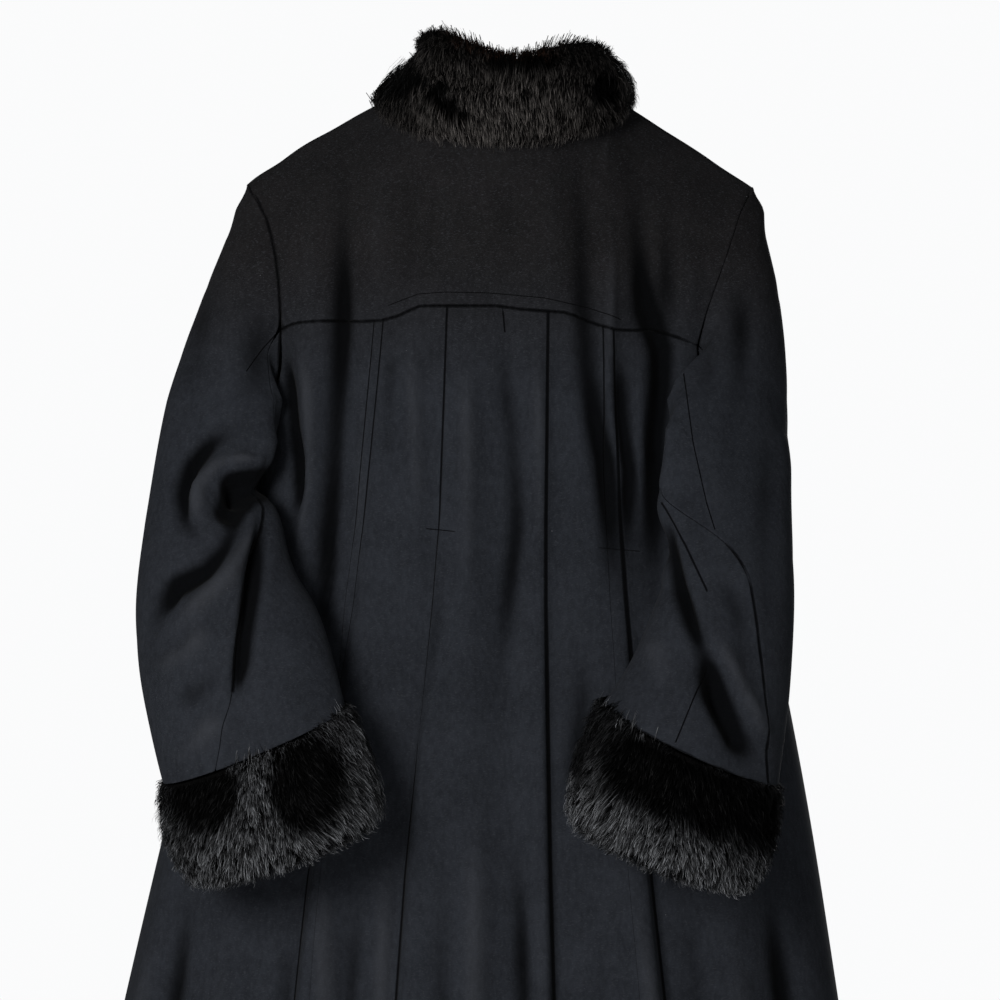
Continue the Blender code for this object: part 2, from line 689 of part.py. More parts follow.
def loop_shape(loop):
    # The armhole's points in its own frame, whose half axes are 1 long.
    underarm = loop[YOKE_ROWS + ARMHOLE_ROWS]
    middle = (loop[0] + underarm) / 2
    across = (loop[0] - underarm) / 2
    back = np.array((0.0, loop[:, 1].max(), 0.0))
    normal = unit(np.cross(across, back))
    away = loop - middle
    shape = (
        away @ across / np.dot(across, across),
        away @ back / np.dot(back, back),
        away @ normal,
    )
    return np.array(shape).T


def sleeve_grid(loop, tab, gap):
    # Rows of rings from the armhole to the cuff.
    count = len(loop)
    last = len(tab["depth"]) - 1
    inward = -math.copysign(1, loop[0][0])
    start_angles = loop_angles(loop)
    shape = loop_shape(loop)
    rows = [loop]
    for row in range(1, SLEEVE_ROWS + 1):
        place = last * (row - 1) / (SLEEVE_ROWS - 1)
        middle, across, back, values = ring_frame(tab, place)
        angles = even_angles(math.radians(values["seam"]), count)
        settle = smoothstep(*ANGLE_SETTLE, row)
        join = smoothstep(*SHAPE_SETTLE, place)
        normal = unit(np.cross(across, back))
        angles = start_angles * (1 - settle) + angles * settle
        points = []
        for column, angle in enumerate(angles):
            point = ring_point(middle, across, back, angle)
            way = ring_outward(across, back, angle)
            wide, deep, high = shape[column]
            start = middle + across * wide + back * deep + normal * high
            point = start * (1 - join) + point * join
            swell = values["swell"] * math.exp(-((angle - SWELL_ANGLE) / SWELL_WIDTH) ** 2)
            point = point + np.array((SWELL_IN * inward * swell, SWELL_BACK * swell, 0.0))
            if way[1] > 0:
                height = fold_height(SLEEVE_FOLDS, point[0], point[2])
                point = point + way * height * way[1]
            points.append(point)
        rows.append(np.array(points))
    return settle_sleeve(np.array(rows), gap)


def settle_sleeve(rows, gap):
    # The cloth eases out between its neighbours and lies just clear of the body.
    for turn in range(SETTLE_TURNS):
        around = (np.roll(rows, 1, axis=1) + np.roll(rows, -1, axis=1)) / 2
        along = (rows[:-2] + rows[2:]) / 2
        eased = rows.copy()
        eased[1:-1] = rows[1:-1] * 0.5 + around[1:-1] * 0.25 + along * 0.25
        for row in range(1, len(rows) - 1):
            weight = 1 - smoothstep(SETTLE_ROWS - FADE_ROWS, SETTLE_ROWS, row)
            ring = rows[row] * (1 - weight) + eased[row] * weight
            near = gap * min(row / FADE_ROWS, 1)
            rows[row] = [clear_of_body(point, near) for point in ring]
    return rows


def tube_ways(rows, sign):
    # The way out at each point of a tube of rings, from its neighbours around it.
    around = np.roll(rows, -1, axis=1) - np.roll(rows, 1, axis=1)
    along = np.gradient(rows, axis=0)
    ways = np.cross(along, around) * sign
    for turn in range(WAY_TURNS):
        ways /= np.maximum(np.linalg.norm(ways, axis=2, keepdims=True), 1e-9)
        ways = ways * 2 + np.roll(ways, 1, axis=1) + np.roll(ways, -1, axis=1)
        ways[1:-1] = ways[1:-1] * 2 + ways[:-2] + ways[2:]
    return ways / np.maximum(np.linalg.norm(ways, axis=2, keepdims=True), 1e-9)


def panel_ways(grid):
    return np.array([[outward(point) for point in row] for row in grid])


def inset_rims(grid, sides, gap):
    # Half of the seam gap comes off each edge that meets another piece.
    grid = grid.copy()
    ends = {"top": (0, 1), "bottom": (-1, -2)}
    for side in sides:
        if side in ends:
            edge, next_row = ends[side]
            for column in range(grid.shape[1]):
                step = unit(grid[next_row, column] - grid[edge, column])
                grid[edge, column] += step * gap / 2
        else:
            edge, next_column = (0, 1) if side == "first" else (-1, -2)
            rim = grid[:, edge].copy()
            for row in range(grid.shape[0]):
                tangent = unit(rim[min(row + 1, len(rim) - 1)] - rim[max(row - 1, 0)])
                step = grid[row, next_column] - rim[row]
                step -= tangent * np.dot(step, tangent)
                grid[row, edge] += unit(step) * gap / 2
    return grid


def material(name):
    made = bpy.data.materials.get(name)
    if made:
        return made
    colour, roughness = MATERIALS[name]
    made = bpy.data.materials.new(name)
    made.use_nodes = True
    shader = made.node_tree.nodes["Principled BSDF"]
    shader.inputs["Base Color"].default_value = (*colour, 1)
    shader.inputs["Roughness"].default_value = roughness
    shader.inputs["Metallic"].default_value = 0
    return made


def wall(name, outer, inner, slot, closed=False):
    # A closed wall from a grid of outer points and the matching inner points.
    rows, columns = outer.shape[:2]
    shell = bmesh.new()
    bmesh.ops.create_grid(shell, x_segments=columns - 1, y_segments=rows - 1, size=1)
    shell.verts.ensure_lookup_table()
    order = shell.verts.layers.int.new("order")
    flat_outer = outer.reshape(-1, 3)
    flat_inner = inner.reshape(-1, 3)
    for index, vertex in enumerate(shell.verts):
        vertex[order] = index
        vertex.co = flat_outer[index]
    if closed:
        bmesh.ops.remove_doubles(shell, verts=shell.verts, dist=1e-7)
    bmesh.ops.triangulate(shell, faces=shell.faces, quad_method="FIXED")
    made = bmesh.ops.extrude_face_region(shell, geom=shell.faces[:], use_keep_orig=True)
    for item in made["geom"]:
        if isinstance(item, bmesh.types.BMVert):
            item.co = flat_inner[item[order]]
    bmesh.ops.recalc_face_normals(shell, faces=shell.faces)
    mesh = bpy.data.meshes.new(name)
    shell.to_mesh(mesh)
    shell.free()
    mesh.shade_smooth()
    mesh.set_sharp_from_angle(angle=math.radians(50))
    mesh.materials.append(material(slot))
    piece = bpy.data.objects.new(name, mesh)
    bpy.context.scene.collection.objects.link(piece)
    return piece


def cloth(name, grid, sides, ways, gap=SEAM_GAP):
    outer = inset_rims(grid, sides, gap)
    return wall(name, outer, outer - ways * WOOL, "wool")


def off_armhole(rows, ways):
    # The sleeve's first ring steps off the armhole, square to the edge and to the wall.
    around = np.roll(rows[0], -1, axis=0) - np.roll(rows[0], 1, axis=0)
    steps = np.cross(around, ways[0])
    steps /= np.linalg.norm(steps, axis=1, keepdims=True)
    steps *= np.sign(np.sum(steps * (rows[1] - rows[0])))
    rows = rows.copy()
    rows[0] += steps * ARMHOLE_GAP
    return rows


def sleeve(side, rows, ways):
    count = rows.shape[1]
    rows = off_armhole(rows, ways)
    under = list(range(YOKE_ROWS, FRONT_SEAM_COLUMN + 1))
    top = [column % count for column in range(FRONT_SEAM_COLUMN, count + YOKE_ROWS + 1)]
    sides = ("top", "bottom", "first", "last")
    cloth("sleeve_" + side + "_under", rows[:, under], sides, ways[:, under], SLEEVE_GAP)
    cloth("sleeve_" + side + "_top", rows[:, top], sides, ways[:, top], SLEEVE_GAP)


def cuff(side, tab, seam, ways, angles):
    # The first row meets the sleeve's end, and its fur already stands a little proud.
    columns = len(seam)
    _, across, back, _ = ring_frame(tab, 0)
    along = unit(np.cross(across, back))
    along *= -math.copysign(CUFF_GAP, along[2])
    ring = list(range(columns)) + [0]
    outer = [(seam + along + ways * CUFF_PROUD)[ring]]
    inner = [(seam + along - ways * CUFF_INSIDE)[ring]]
    for row in range(len(tab["depth"])):
        middle, across, back, values = ring_frame(tab, row)
        outer_ring = []
        inner_ring = []
        for column in range(columns + 1):
            angle = angles[column % columns]
            point = clear_of_body(ring_point(middle, across, back, angle), SLEEVE_CLEARANCE)
            way = ring_outward(across, back, angle)
            outer_ring.append(point)
            inner_ring.append(point - way * values["wall"])
        outer.append(outer_ring)
        inner.append(inner_ring)
    return wall("cuff_" + side, np.array(outer), np.array(inner), "fur", closed=True)


def surface_tree(grids):
    points = []
    faces = []
    for grid in grids:
        start = len(points)
        rows, columns = grid.shape[:2]
        points += [tuple(point) for point in grid.reshape(-1, 3)]
        for row in range(rows - 1):
            for column in range(columns - 1):
                corner = start + row * columns + column
                faces.append((corner, corner + 1, corner + columns + 1, corner + columns))
    return BVHTree.FromPolygons(points, faces)


def rest_height(ground, place):
    # Just above the cloth under a place beside the neck.
    hit, slope = ground.ray_cast((place[0], place[1], 0.1), (0, 0, -1))[:2]
    return hit[2] + COLLAR_CLEARANCE / max(abs(slope[2]), 0.3)


def collar(ground):
    # A stand-up band of thick fur around the neck, lower toward the front.
    # Its lower edge hangs over the neck seam and follows the cloth below it.
    angles = list(np.linspace(COLLAR["angle"][0], COLLAR["angle"][-1], COLLAR_STEPS))
    outer = []
    inner = []
    for angle in angles:
        turn = math.radians(angle)
        base = neck_point(turn)
        out = unit(np.array((math.sin(turn), math.cos(turn) * COLLAR_BACK_PULL, 0.0)))
        height = curve(COLLAR, "angle", "top_z", angle) - base[2]
        lean = curve(COLLAR, "angle", "lean", angle)
        shift = curve(COLLAR, "angle", "shift", angle)
        hang_out = curve(COLLAR, "angle", "hang_out", angle)
        middle, under, low = (rest_height(ground, base + out * reach) - base[2]
                              for reach in (hang_out * 0.5, hang_out, hang_out + COLLAR_UNDERCUT))
        drop = curve(COLLAR, "angle", "drop", angle)
        middle = max(middle, COLLAR_RISE)
        under = max(under, -drop / 2)
        low = max(low, -drop)
        outside = (
            (hang_out * 0.5, middle),
            (hang_out, under),
            (hang_out + COLLAR_UNDERCUT, low),
            (COLLAR_DEPTH + shift, height * 0.30),
            (COLLAR_DEPTH + shift - lean * 0.5, height * 0.65),
            (COLLAR_SHOULDER + shift - lean, height * 0.93),
            (COLLAR_RIM + shift - lean, height),
        )
        inside = (
            (0.000, middle + 0.0040),
            (shift * 0.5, middle + 0.0070),
            (shift - 0.001, middle + 0.0110),
            (shift - 0.002, height * 0.38),
            (shift - 0.003 - lean * 0.5, height * 0.65),
            (shift - 0.003 - lean, height * 0.88),
            (shift - lean, height * 0.97),
        )
        outer.append([base + out * o + np.array((0, 0, h)) for o, h in outside])
        inner.append([base + out * o + np.array((0, 0, h)) for o, h in inside])
    return wall("collar", np.array(outer), np.array(inner), "fur")


def build():
    for item in list(bpy.data.objects):
        bpy.data.objects.remove(item)
    back = back_grid()
    yoke = yoke_grid(back)
    back_ways = panel_ways(back)
    yoke_ways = panel_ways(yoke)
    ground = []
    for side, tab, cuff_tab in (
        ("left", LEFT_SLEEVE, LEFT_CUFF),
        ("right", RIGHT_SLEEVE, RIGHT_CUFF),
    ):
        front = front_grid(side)
        front_ways = panel_ways(front)
        ground.append(front)
        rows = sleeve_grid(armhole_loop(yoke, back, front, side), tab, SLEEVE_CLEARANCE)
        ways = tube_ways(rows, 1 if side == "left" else -1)
        share_armhole(side, yoke_ways, back_ways, front_ways, ways)
        cloth("front_" + side, front, ("top", "first"), front_ways, SIDE_GAP)
        sleeve(side, rows, ways)
        angles = even_angles(math.radians(tab["seam"][-1]), rows.shape[1])
        cuff(side, cuff_tab, rows[-1], ways[-1], angles)
    cloth("back_yoke", yoke, ("top", "bottom", "first", "last"), yoke_ways)
    cloth("back", back, ("top", "first", "last"), back_ways, SIDE_GAP)
    ground.append(yoke)
    collar(surface_tree(ground))


build()
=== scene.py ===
import math

import bmesh
import bpy
import numpy as np
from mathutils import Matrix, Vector
from mathutils.kdtree import KDTree


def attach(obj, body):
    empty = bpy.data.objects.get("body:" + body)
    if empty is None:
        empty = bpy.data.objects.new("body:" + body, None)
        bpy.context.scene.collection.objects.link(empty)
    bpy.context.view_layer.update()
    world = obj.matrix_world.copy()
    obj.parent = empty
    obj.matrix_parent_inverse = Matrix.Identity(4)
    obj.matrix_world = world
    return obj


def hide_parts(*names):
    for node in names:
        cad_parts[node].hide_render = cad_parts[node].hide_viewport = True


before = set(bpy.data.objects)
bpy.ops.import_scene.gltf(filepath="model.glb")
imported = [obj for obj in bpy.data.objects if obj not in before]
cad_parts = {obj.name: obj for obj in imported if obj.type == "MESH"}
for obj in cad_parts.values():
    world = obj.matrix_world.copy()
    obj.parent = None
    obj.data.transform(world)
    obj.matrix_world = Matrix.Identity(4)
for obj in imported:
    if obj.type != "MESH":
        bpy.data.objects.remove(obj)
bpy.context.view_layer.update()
print("stage: frame loaded")

# The picture is 0.88 m wide at the coat, and its middle is here.
view = {
    "width": 0.88,
    "middle": (0.0026, 0.10, -0.352),
    "distance": 30.0,
    "sensor": 36.0,
}
room = {
    "world": (0.94, 0.97, 1.0, 1),
    "worldStrength": 0.22,
    "backdrop": (0.962, 0.965, 0.970, 1),
    "backdropRadius": 150.0,
    "floor": (0.82, 0.82, 0.81, 1),
    "floorHeight": -1.42,
    "floorReach": 2.5,
    "lampAim": (0.0, 0.0, -0.40),
}
lamps = {
    "keyLamp": {"place": (1.6, 3.8, 0.15), "power": 140.0, "size": 1.2},
    "fillLamp": {"place": (0.2, 4.0, -1.4), "power": 22.0, "size": 2.4},
    "frontLamp": {"place": (-0.6, -3.8, 0.5), "power": 85.0, "size": 2.0},
}


class Wire:
    # A shader socket that takes Python's arithmetic.
    def __init__(self, paint, socket):
        self.paint = paint
        self.socket = socket

    def do(self, operation, first, second=0.0):
        made = self.paint.node("ShaderNodeMath", {"operation": operation}, {0: first, 1: second})
        return Wire(self.paint, made.outputs[0])

    def __add__(self, other):
        return self.do("ADD", self, other)

    def __mul__(self, other):
        return self.do("MULTIPLY", self, other)

    def __sub__(self, other):
        return self.do("SUBTRACT", self, other)

    def __rsub__(self, other):
        return self.do("SUBTRACT", other, self)

    __radd__ = __add__
    __rmul__ = __mul__

    def above(self, edge):
        return self.do("GREATER_THAN", self, edge)

    def below(self, edge):
        return self.do("LESS_THAN", self, edge)

    def size(self):
        return self.do("ABSOLUTE", self)

    def ease(self, low, high, start=0.0, end=1.0):
        made = self.paint.node(
            "ShaderNodeMapRange",
            {"interpolation_type": "SMOOTHSTEP"},
            {"Value": self, "From Min": low, "From Max": high, "To Min": start, "To Max": end},
        )
        return Wire(self.paint, made.outputs["Result"])


class Paint:
    # One material. What is the same all over is set on the shader's own sockets.
    def __init__(self, name, finish):
        self.material = bpy.data.materials.new(name)
        self.material.use_nodes = True
        self.tree = self.material.node_tree
        self.shader = self.tree.nodes["Principled BSDF"]
        for socket, value in finish.items():
            self.shader.inputs[socket].default_value = value

    def node(self, kind, settings=None, inputs=None):
        made = self.tree.nodes.new(kind)
        for key, value in (settings or {}).items():
            setattr(made, key, value)
        for key, value in (inputs or {}).items():
            self.feed(made.inputs[key], value)
        return made

    def feed(self, socket, value):
        if isinstance(value, Wire):
            self.tree.links.new(value.socket, socket)
        else:
            socket.default_value = value

    def wire(self, made, output=0):
        return Wire(self, made.outputs[output])

    def place(self, stretch=(1, 1, 1)):
        spot = self.wire(self.node("ShaderNodeTexCoord"), "Object")
        return self.wire(self.node("ShaderNodeMapping", None, {"Vector": spot, "Scale": stretch}))

    def noise(self, scale, detail=2.0, rough=0.5, stretch=(1, 1, 1)):
        inputs = {"Vector": self.place(stretch), "Scale": scale, "Detail": detail, "Roughness": rough}
        return self.wire(self.node("ShaderNodeTexNoise", None, inputs), 0)

    def mix(self, amount, first, second):
        made = self.node("ShaderNodeMix", {"data_type": "RGBA"})
        self.feed(made.inputs[0], amount)
        self.feed(made.inputs[6], first)
        self.feed(made.inputs[7], second)
        return Wire(self, made.outputs[2])

    def bump(self, height, distance, strength=1.0):
        inputs = {"Height": height, "Distance": distance, "Strength": strength}
        made = self.node("ShaderNodeBump", None, inputs)
        self.feed(self.shader.inputs["Normal"], Wire(self, made.outputs["Normal"]))


wool = {
    # The same black wool is painted darker and warmer at the top and lighter and cooler below: painted
    # light by height.
    "upperShadedTone": (0.0118, 0.0112, 0.0116, 1),
    "lowerLitTone": (0.0195, 0.0218, 0.0268, 1),
    # Near black: the mottling's dark tone, and the painted shade in troughs, seams and drawn lines.
    "deep": (0.0012, 0.0013, 0.0015, 1),
    # The fibres' lighter tone, also used as the painted highlight on crease ridges.
    "fibreAndRidgeLight": (0.0420, 0.0440, 0.0500, 1),
    "lint": (0.110, 0.110, 0.120, 1),
    "upperShadedHeights": (-0.280, -0.120),
    "patches": {"scale": 22.0, "detail": 4.0, "rough": 0.6},
    "flock": {"scale": 240.0, "detail": 3.0, "rough": 0.65, "stretch": (1.0, 1.0, 0.5)},
    "fibres": {"scale": 700.0, "detail": 2.0, "rough": 0.6, "stretch": (0.6, 0.6, 1.6)},
    "patchShade": (0.3, 0.7, -0.10, 0.10),
    "flockShade": (0.25, 0.75, 0.05, 0.35),
    "fibreShade": (0.50, 0.80, 0.0, 0.45),
    "lintScale": 70.0,
    "lintStretch": (1, 1, 2.2),
    "lintSize": 0.045,
    "lintRare": 0.95,
    # Painted shade in the creases' troughs and painted highlight on their ridges.
    "troughShade": (0.0, 0.8, 0.0, 0.94),
    "ridgeShade": (0.0, 0.8, 0.0, 0.34),
    "seamWidth": (0.0004, 0.0021),
    "pleatFade": (0.25, 1.0),
    "lineFade": (0.3, 1.0),
    "lineReach": (0.7, 1.0),
    "lineEnds": (0.4, 1.0),
    "grooveShare": 0.92,
    "bumpDepth": 0.001,
    "bumpShares": {"flock": 0.22, "fibres": 0.16, "groove": 0.8},
    "finish": {"Roughness": 0.95, "Specular IOR Level": 0.02, "Sheen Weight": 0.01, "Sheen Roughness": 0.5},
}


def attribute(paint, name, output="Fac"):
    return paint.wire(paint.node("ShaderNodeAttribute", {"attribute_name": name}), output)


def woolPaint():
    paint = Paint("blackWool", wool["finish"])
    spot = paint.wire(paint.node("ShaderNodeTexCoord"), "Object")
    height = Wire(paint, paint.node("ShaderNodeSeparateXYZ", None, {0: spot}).outputs[2])
    # Painted light by height: darker and warmer toward the top, lighter and cooler below.
    heightShadedTone = paint.mix(height.ease(*wool["upperShadedHeights"]), wool["lowerLitTone"], wool["upperShadedTone"])
    patches = paint.noise(**wool["patches"])
    flock = paint.noise(**wool["flock"])
    fibres = paint.noise(**wool["fibres"])
    shade = patches.ease(*wool["patchShade"]) + flock.ease(*wool["flockShade"])
    mottled = paint.mix(shade, heightShadedTone, wool["deep"])
    fuzzy = paint.mix(fibres.ease(*wool["fibreShade"]), mottled, wool["fibreAndRidgeLight"])
    lintInputs = {"Vector": paint.place(wool["lintStretch"]), "Scale": wool["lintScale"]}
    spots = paint.node("ShaderNodeTexVoronoi", None, lintInputs)
    chances = paint.node("ShaderNodeSeparateColor", None, {0: paint.wire(spots, "Color")})
    rare = paint.wire(chances).above(wool["lintRare"])
    lint = rare * paint.wire(spots, "Distance").below(wool["lintSize"])
    # Painted highlight on the crease ridges and painted shade in their troughs, read from the crease
    # height.
    fold = attribute(paint, "fold")
    litRidgesAndBrownTips = paint.mix(fold.ease(*wool["ridgeShade"]), fuzzy, wool["fibreAndRidgeLight"])
    sunkShade = (fold * -1.0).ease(*wool["troughShade"])
    flecked = paint.mix(lint, paint.mix(sunkShade, litRidgesAndBrownTips, wool["deep"]), wool["lint"])
    # Painted shade: the seam grooves, the pleats' lines and the fine lines are darkened toward near black.
    groove = 1 - attribute(paint, "rim").ease(*wool["seamWidth"])
    for side in ("pleatsLeft", "pleatsRight"):
        offsets = paint.node("ShaderNodeSeparateXYZ", None, {0: attribute(paint, side, "Vector")})
        for offset in offsets.outputs:
            groove = groove + (1 - Wire(paint, offset).size().ease(*wool["pleatFade"]))
    lines = paint.node("ShaderNodeSeparateXYZ", None, {0: attribute(paint, "fineLine", "Vector")})
    across, away, beyond = (Wire(paint, output) for output in lines.outputs)
    drawn = (1 - across.size().ease(*wool["lineFade"])) * (1 - away.ease(*wool["lineReach"]))
    drawn = drawn * (1 - beyond.ease(*wool["lineEnds"]))
    groove = (groove + drawn).do("MINIMUM", groove + drawn, 1.0)
    colour = paint.mix(groove * wool["grooveShare"], flecked, wool["deep"])
    paint.feed(paint.shader.inputs["Base Color"], colour)
    shares = wool["bumpShares"]
    height = flock * shares["flock"] + fibres * shares["fibres"] - groove * shares["groove"]
    paint.bump(height, wool["bumpDepth"])
    return paint.material


furHair = {
    "root": (0.0006, 0.0006, 0.0006, 1),
    "dark": (0.0016, 0.0015, 0.0016, 1),
    # Painted highlight colours of the hairs: warm on the collar, cool on the cuffs.
    "warmHighlight": (0.165, 0.150, 0.140, 1),
    "coolHighlight": (0.235, 0.242, 0.256, 1),
    "brown": (0.030, 0.013, 0.007, 1),
    "tipFade": (0.25, 0.95),
    "finish": {"Roughness": 0.45, "Specular IOR Level": 0.03},
}
peltSkin = {
    "deep": (0.0010, 0.0010, 0.0010, 1),
    "pale": (0.0032, 0.0030, 0.0030, 1),
    "tufts": {"scale": 420.0, "detail": 3.0, "rough": 0.6},
    "bumpDepth": 0.004,
    "finish": {"Roughness": 1.0, "Specular IOR Level": 0.02},
}


def hairPaint(name, pale):
    paint = Paint(name, furHair["finish"])
    # Painted highlight: the shade attribute mixes each hair from its dark colour toward a pale highlight
    # colour.
    tone = paint.mix(attribute(paint, "shade"), furHair["dark"], pale)
    # Hairs near the collar's upper rim are tinted brown.
    litRidgesAndBrownTips = paint.mix(attribute(paint, "brown"), tone, furHair["brown"])
    colour = paint.mix(attribute(paint, "along").ease(*furHair["tipFade"]), furHair["root"], litRidgesAndBrownTips)
    paint.feed(paint.shader.inputs["Base Color"], colour)
    return paint.material


def peltPaint():
    paint = Paint("furPelt", peltSkin["finish"])
    tufts = paint.noise(**peltSkin["tufts"])
    paint.feed(paint.shader.inputs["Base Color"], paint.mix(tufts, peltSkin["deep"], peltSkin["pale"]))
    paint.bump(tufts, peltSkin["bumpDepth"])
    return paint.material


woolMaterial = woolPaint()
collarHair = hairPaint("collarFur", furHair["warmHighlight"])
cuffHair = hairPaint("cuffFur", furHair["coolHighlight"])
peltMaterial = peltPaint()


nowhere = 9.0   # farther than anything is


def ease(low, high, value):
    part = np.clip((value - low) / (high - low), 0, 1)
    return part * part * (3 - 2 * part)


def unit(vectors):
    return vectors / np.maximum(np.linalg.norm(vectors, axis=-1, keepdims=True), 1e-9)


def byHeight(points, table, name):
    return np.interp(points[:, 2], table["height"], table[name])


def putIn(name, data):
    made = bpy.data.objects.new(name, data)
    bpy.context.scene.collection.objects.link(made)
    return made


def meshOf(name, shell):
    mesh = bpy.data.meshes.new(name)
    shell.to_mesh(mesh)
    shell.free()
    return mesh


def lineDistance(flat, line):
    # Distance of points in the view from a drawn line, and how far along it they are.
    line = np.array(line)
    steps = np.linalg.norm(np.diff(line, axis=0), axis=1)
    total = steps.sum()
    best = np.full(len(flat), nowhere)
    where = np.zeros(len(flat))
    before = 0.0
    for start, end, step in zip(line, line[1:], steps):
        part = np.clip((flat - start) @ (end - start) / step ** 2, 0, 1)
        away = np.linalg.norm(flat - start - part[:, None] * (end - start), axis=1)
        closer = away < best
        best[closer] = away[closer]
        where[closer] = (before + part[closer] * step) / total
        before += step
    return best, where


creaseShape = {
    "endLeast": 0.1,
    "endReach": 0.3,
    "uneven": 0.2,
    "beats": 11.0,
    "phase": 0.9,
}


def creaseHeight(flat, creases):
    # Soft troughs and ridges, each fading to its ends and a little uneven along its way.
    shape = creaseShape
    height = np.zeros(len(flat))
    for depth, width, line in creases:
        away, where = lineDistance(flat, np.array(line) / 1000)
        ends = ease(0, shape["endReach"], where) * ease(0, shape["endReach"], 1 - where)
        ends = shape["endLeast"] + (1 - shape["endLeast"]) * ends
        uneven = 1 + shape["uneven"] * np.sin(shape["beats"] * where + shape["phase"] * depth)
        height += depth / 1000 * ends * uneven * np.exp(-(away / width * 1000) ** 2)
    return height


# Each crease: depth, width and its line as (x, z), all in mm.
sleeveCreases = {
    "left": [
        (-11, 8, [(231, -285), (256, -300), (275, -321), (284, -345), (282, -366), (267, -387)]),
        (9, 8, [(238, -310), (254, -324), (267, -340), (270, -363), (260, -375)]),
        (-26, 13, [(192, -334), (217, -335), (233, -338), (251, -343)]),
        (-12, 12, [(217, -343), (231, -352), (244, -363), (251, -375)]),
        (9, 7, [(205, -320), (231, -319), (247, -321)]),
        (-12, 9, [(223, -352), (231, -373), (242, -394), (261, -413), (291, -428), (307, -451),
         (314, -480), (312, -510)]),
        (10, 9, [(215, -354), (224, -387), (240, -417), (263, -440), (288, -466)]),
        (-17, 7, [(209, -352), (215, -392), (218, -421), (224, -458), (229, -493), (237, -528)]),
        (6, 9, [(318, -500), (297, -496), (274, -484), (253, -459)]),
        (-3.5, 11, [(311, -542), (284, -528), (261, -514), (242, -489)]),
        (6, 11, [(302, -590), (271, -568), (238, -535)]),
        (-3.5, 14, [(260, -123), (269, -194), (275, -264)]),
        (-4, 16, [(212, -167), (216, -238), (231, -282)]),
    ],
    "right": [
        (-12, 6.5, [(-142, -363), (-145, -392), (-152, -427), (-165, -462), (-179, -495)]),
        (-17, 11, [(-173, -475), (-187, -519), (-209, -561), (-233, -591)]),
        (7, 9, [(-186, -466), (-207, -517), (-230, -556), (-244, -579)]),
        (6, 6, [(-213, -609), (-233, -607), (-245, -594), (-247, -563)]),
        (4, 12, [(-129, -466), (-138, -493), (-145, -519)]),
        (-5, 12, [(-213, -70), (-210, -158), (-209, -220), (-207, -290)]),
        (-4, 14, [(-173, -176), (-187, -264), (-200, -352)]),
        (3.5, 12, [(-191, -202), (-187, -308), (-194, -387)]),
        (-3, 12, [(-237, -264), (-231, -370), (-237, -475)]),
        (-3.5, 10, [(-187, -405), (-207, -449), (-219, -502)]),
    ],
    "leftFront": [
        (-4.5, 12, [(225, -322), (262, -350), (302, -352)]),
        (-3.5, 11, [(225, -372), (262, -408), (304, -408)]),
        (6, 14, [(260, -180), (275, -260), (280, -320)]),
        (-5, 12, [(280, -450), (265, -510), (250, -560)]),
    ],
    "rightFront": [
        (-4.5, 12, [(-192, -324), (-220, -354), (-248, -354)]),
        (-3.5, 11, [(-186, -394), (-215, -425), (-247, -424)]),
        (5, 12, [(-225, -180), (-235, -260), (-236, -320)]),
    ],
}
# How far the upper sleeve's cloth sags over the armhole, by height, and its inner edge.
sleeveSag = {
    "left": {
        "height": (-0.410, -0.380, -0.352, -0.335, -0.300, -0.264, -0.240, -0.215),
        "shift": (0.000, -0.003, -0.007, -0.002, 0.018, 0.023, 0.012, 0.000),
        "edge": (0.190, 0.200, 0.212, 0.216, 0.212, 0.204, 0.200, 0.197),
    },
    "right": {
        "height": (-0.430, -0.392, -0.343, -0.315, -0.290, -0.264, -0.245, -0.225, -0.205),
        "shift": (0.000, 0.015, 0.021, 0.036, 0.050, 0.054, 0.045, 0.024, 0.000),
        "edge": (0.130, 0.140, 0.160, 0.175, 0.184, 0.187, 0.180, 0.176, 0.174),
    },
}
# The shoulder's corner on each side, and how far the cloth around it is let out.
shoulders = {
    "left": (0.222, 0.0, -0.082),
    "right": (-0.2165, 0.0, -0.082),
    "leftWay": (0.80, 0.0, 0.60),
    "rightWay": (-0.95, 0.0, 0.12),
    "amount": 0.0056,
    "reach": 0.042,
    "ridge": 0.0054,
    "ridgeWidth": 0.024,
}
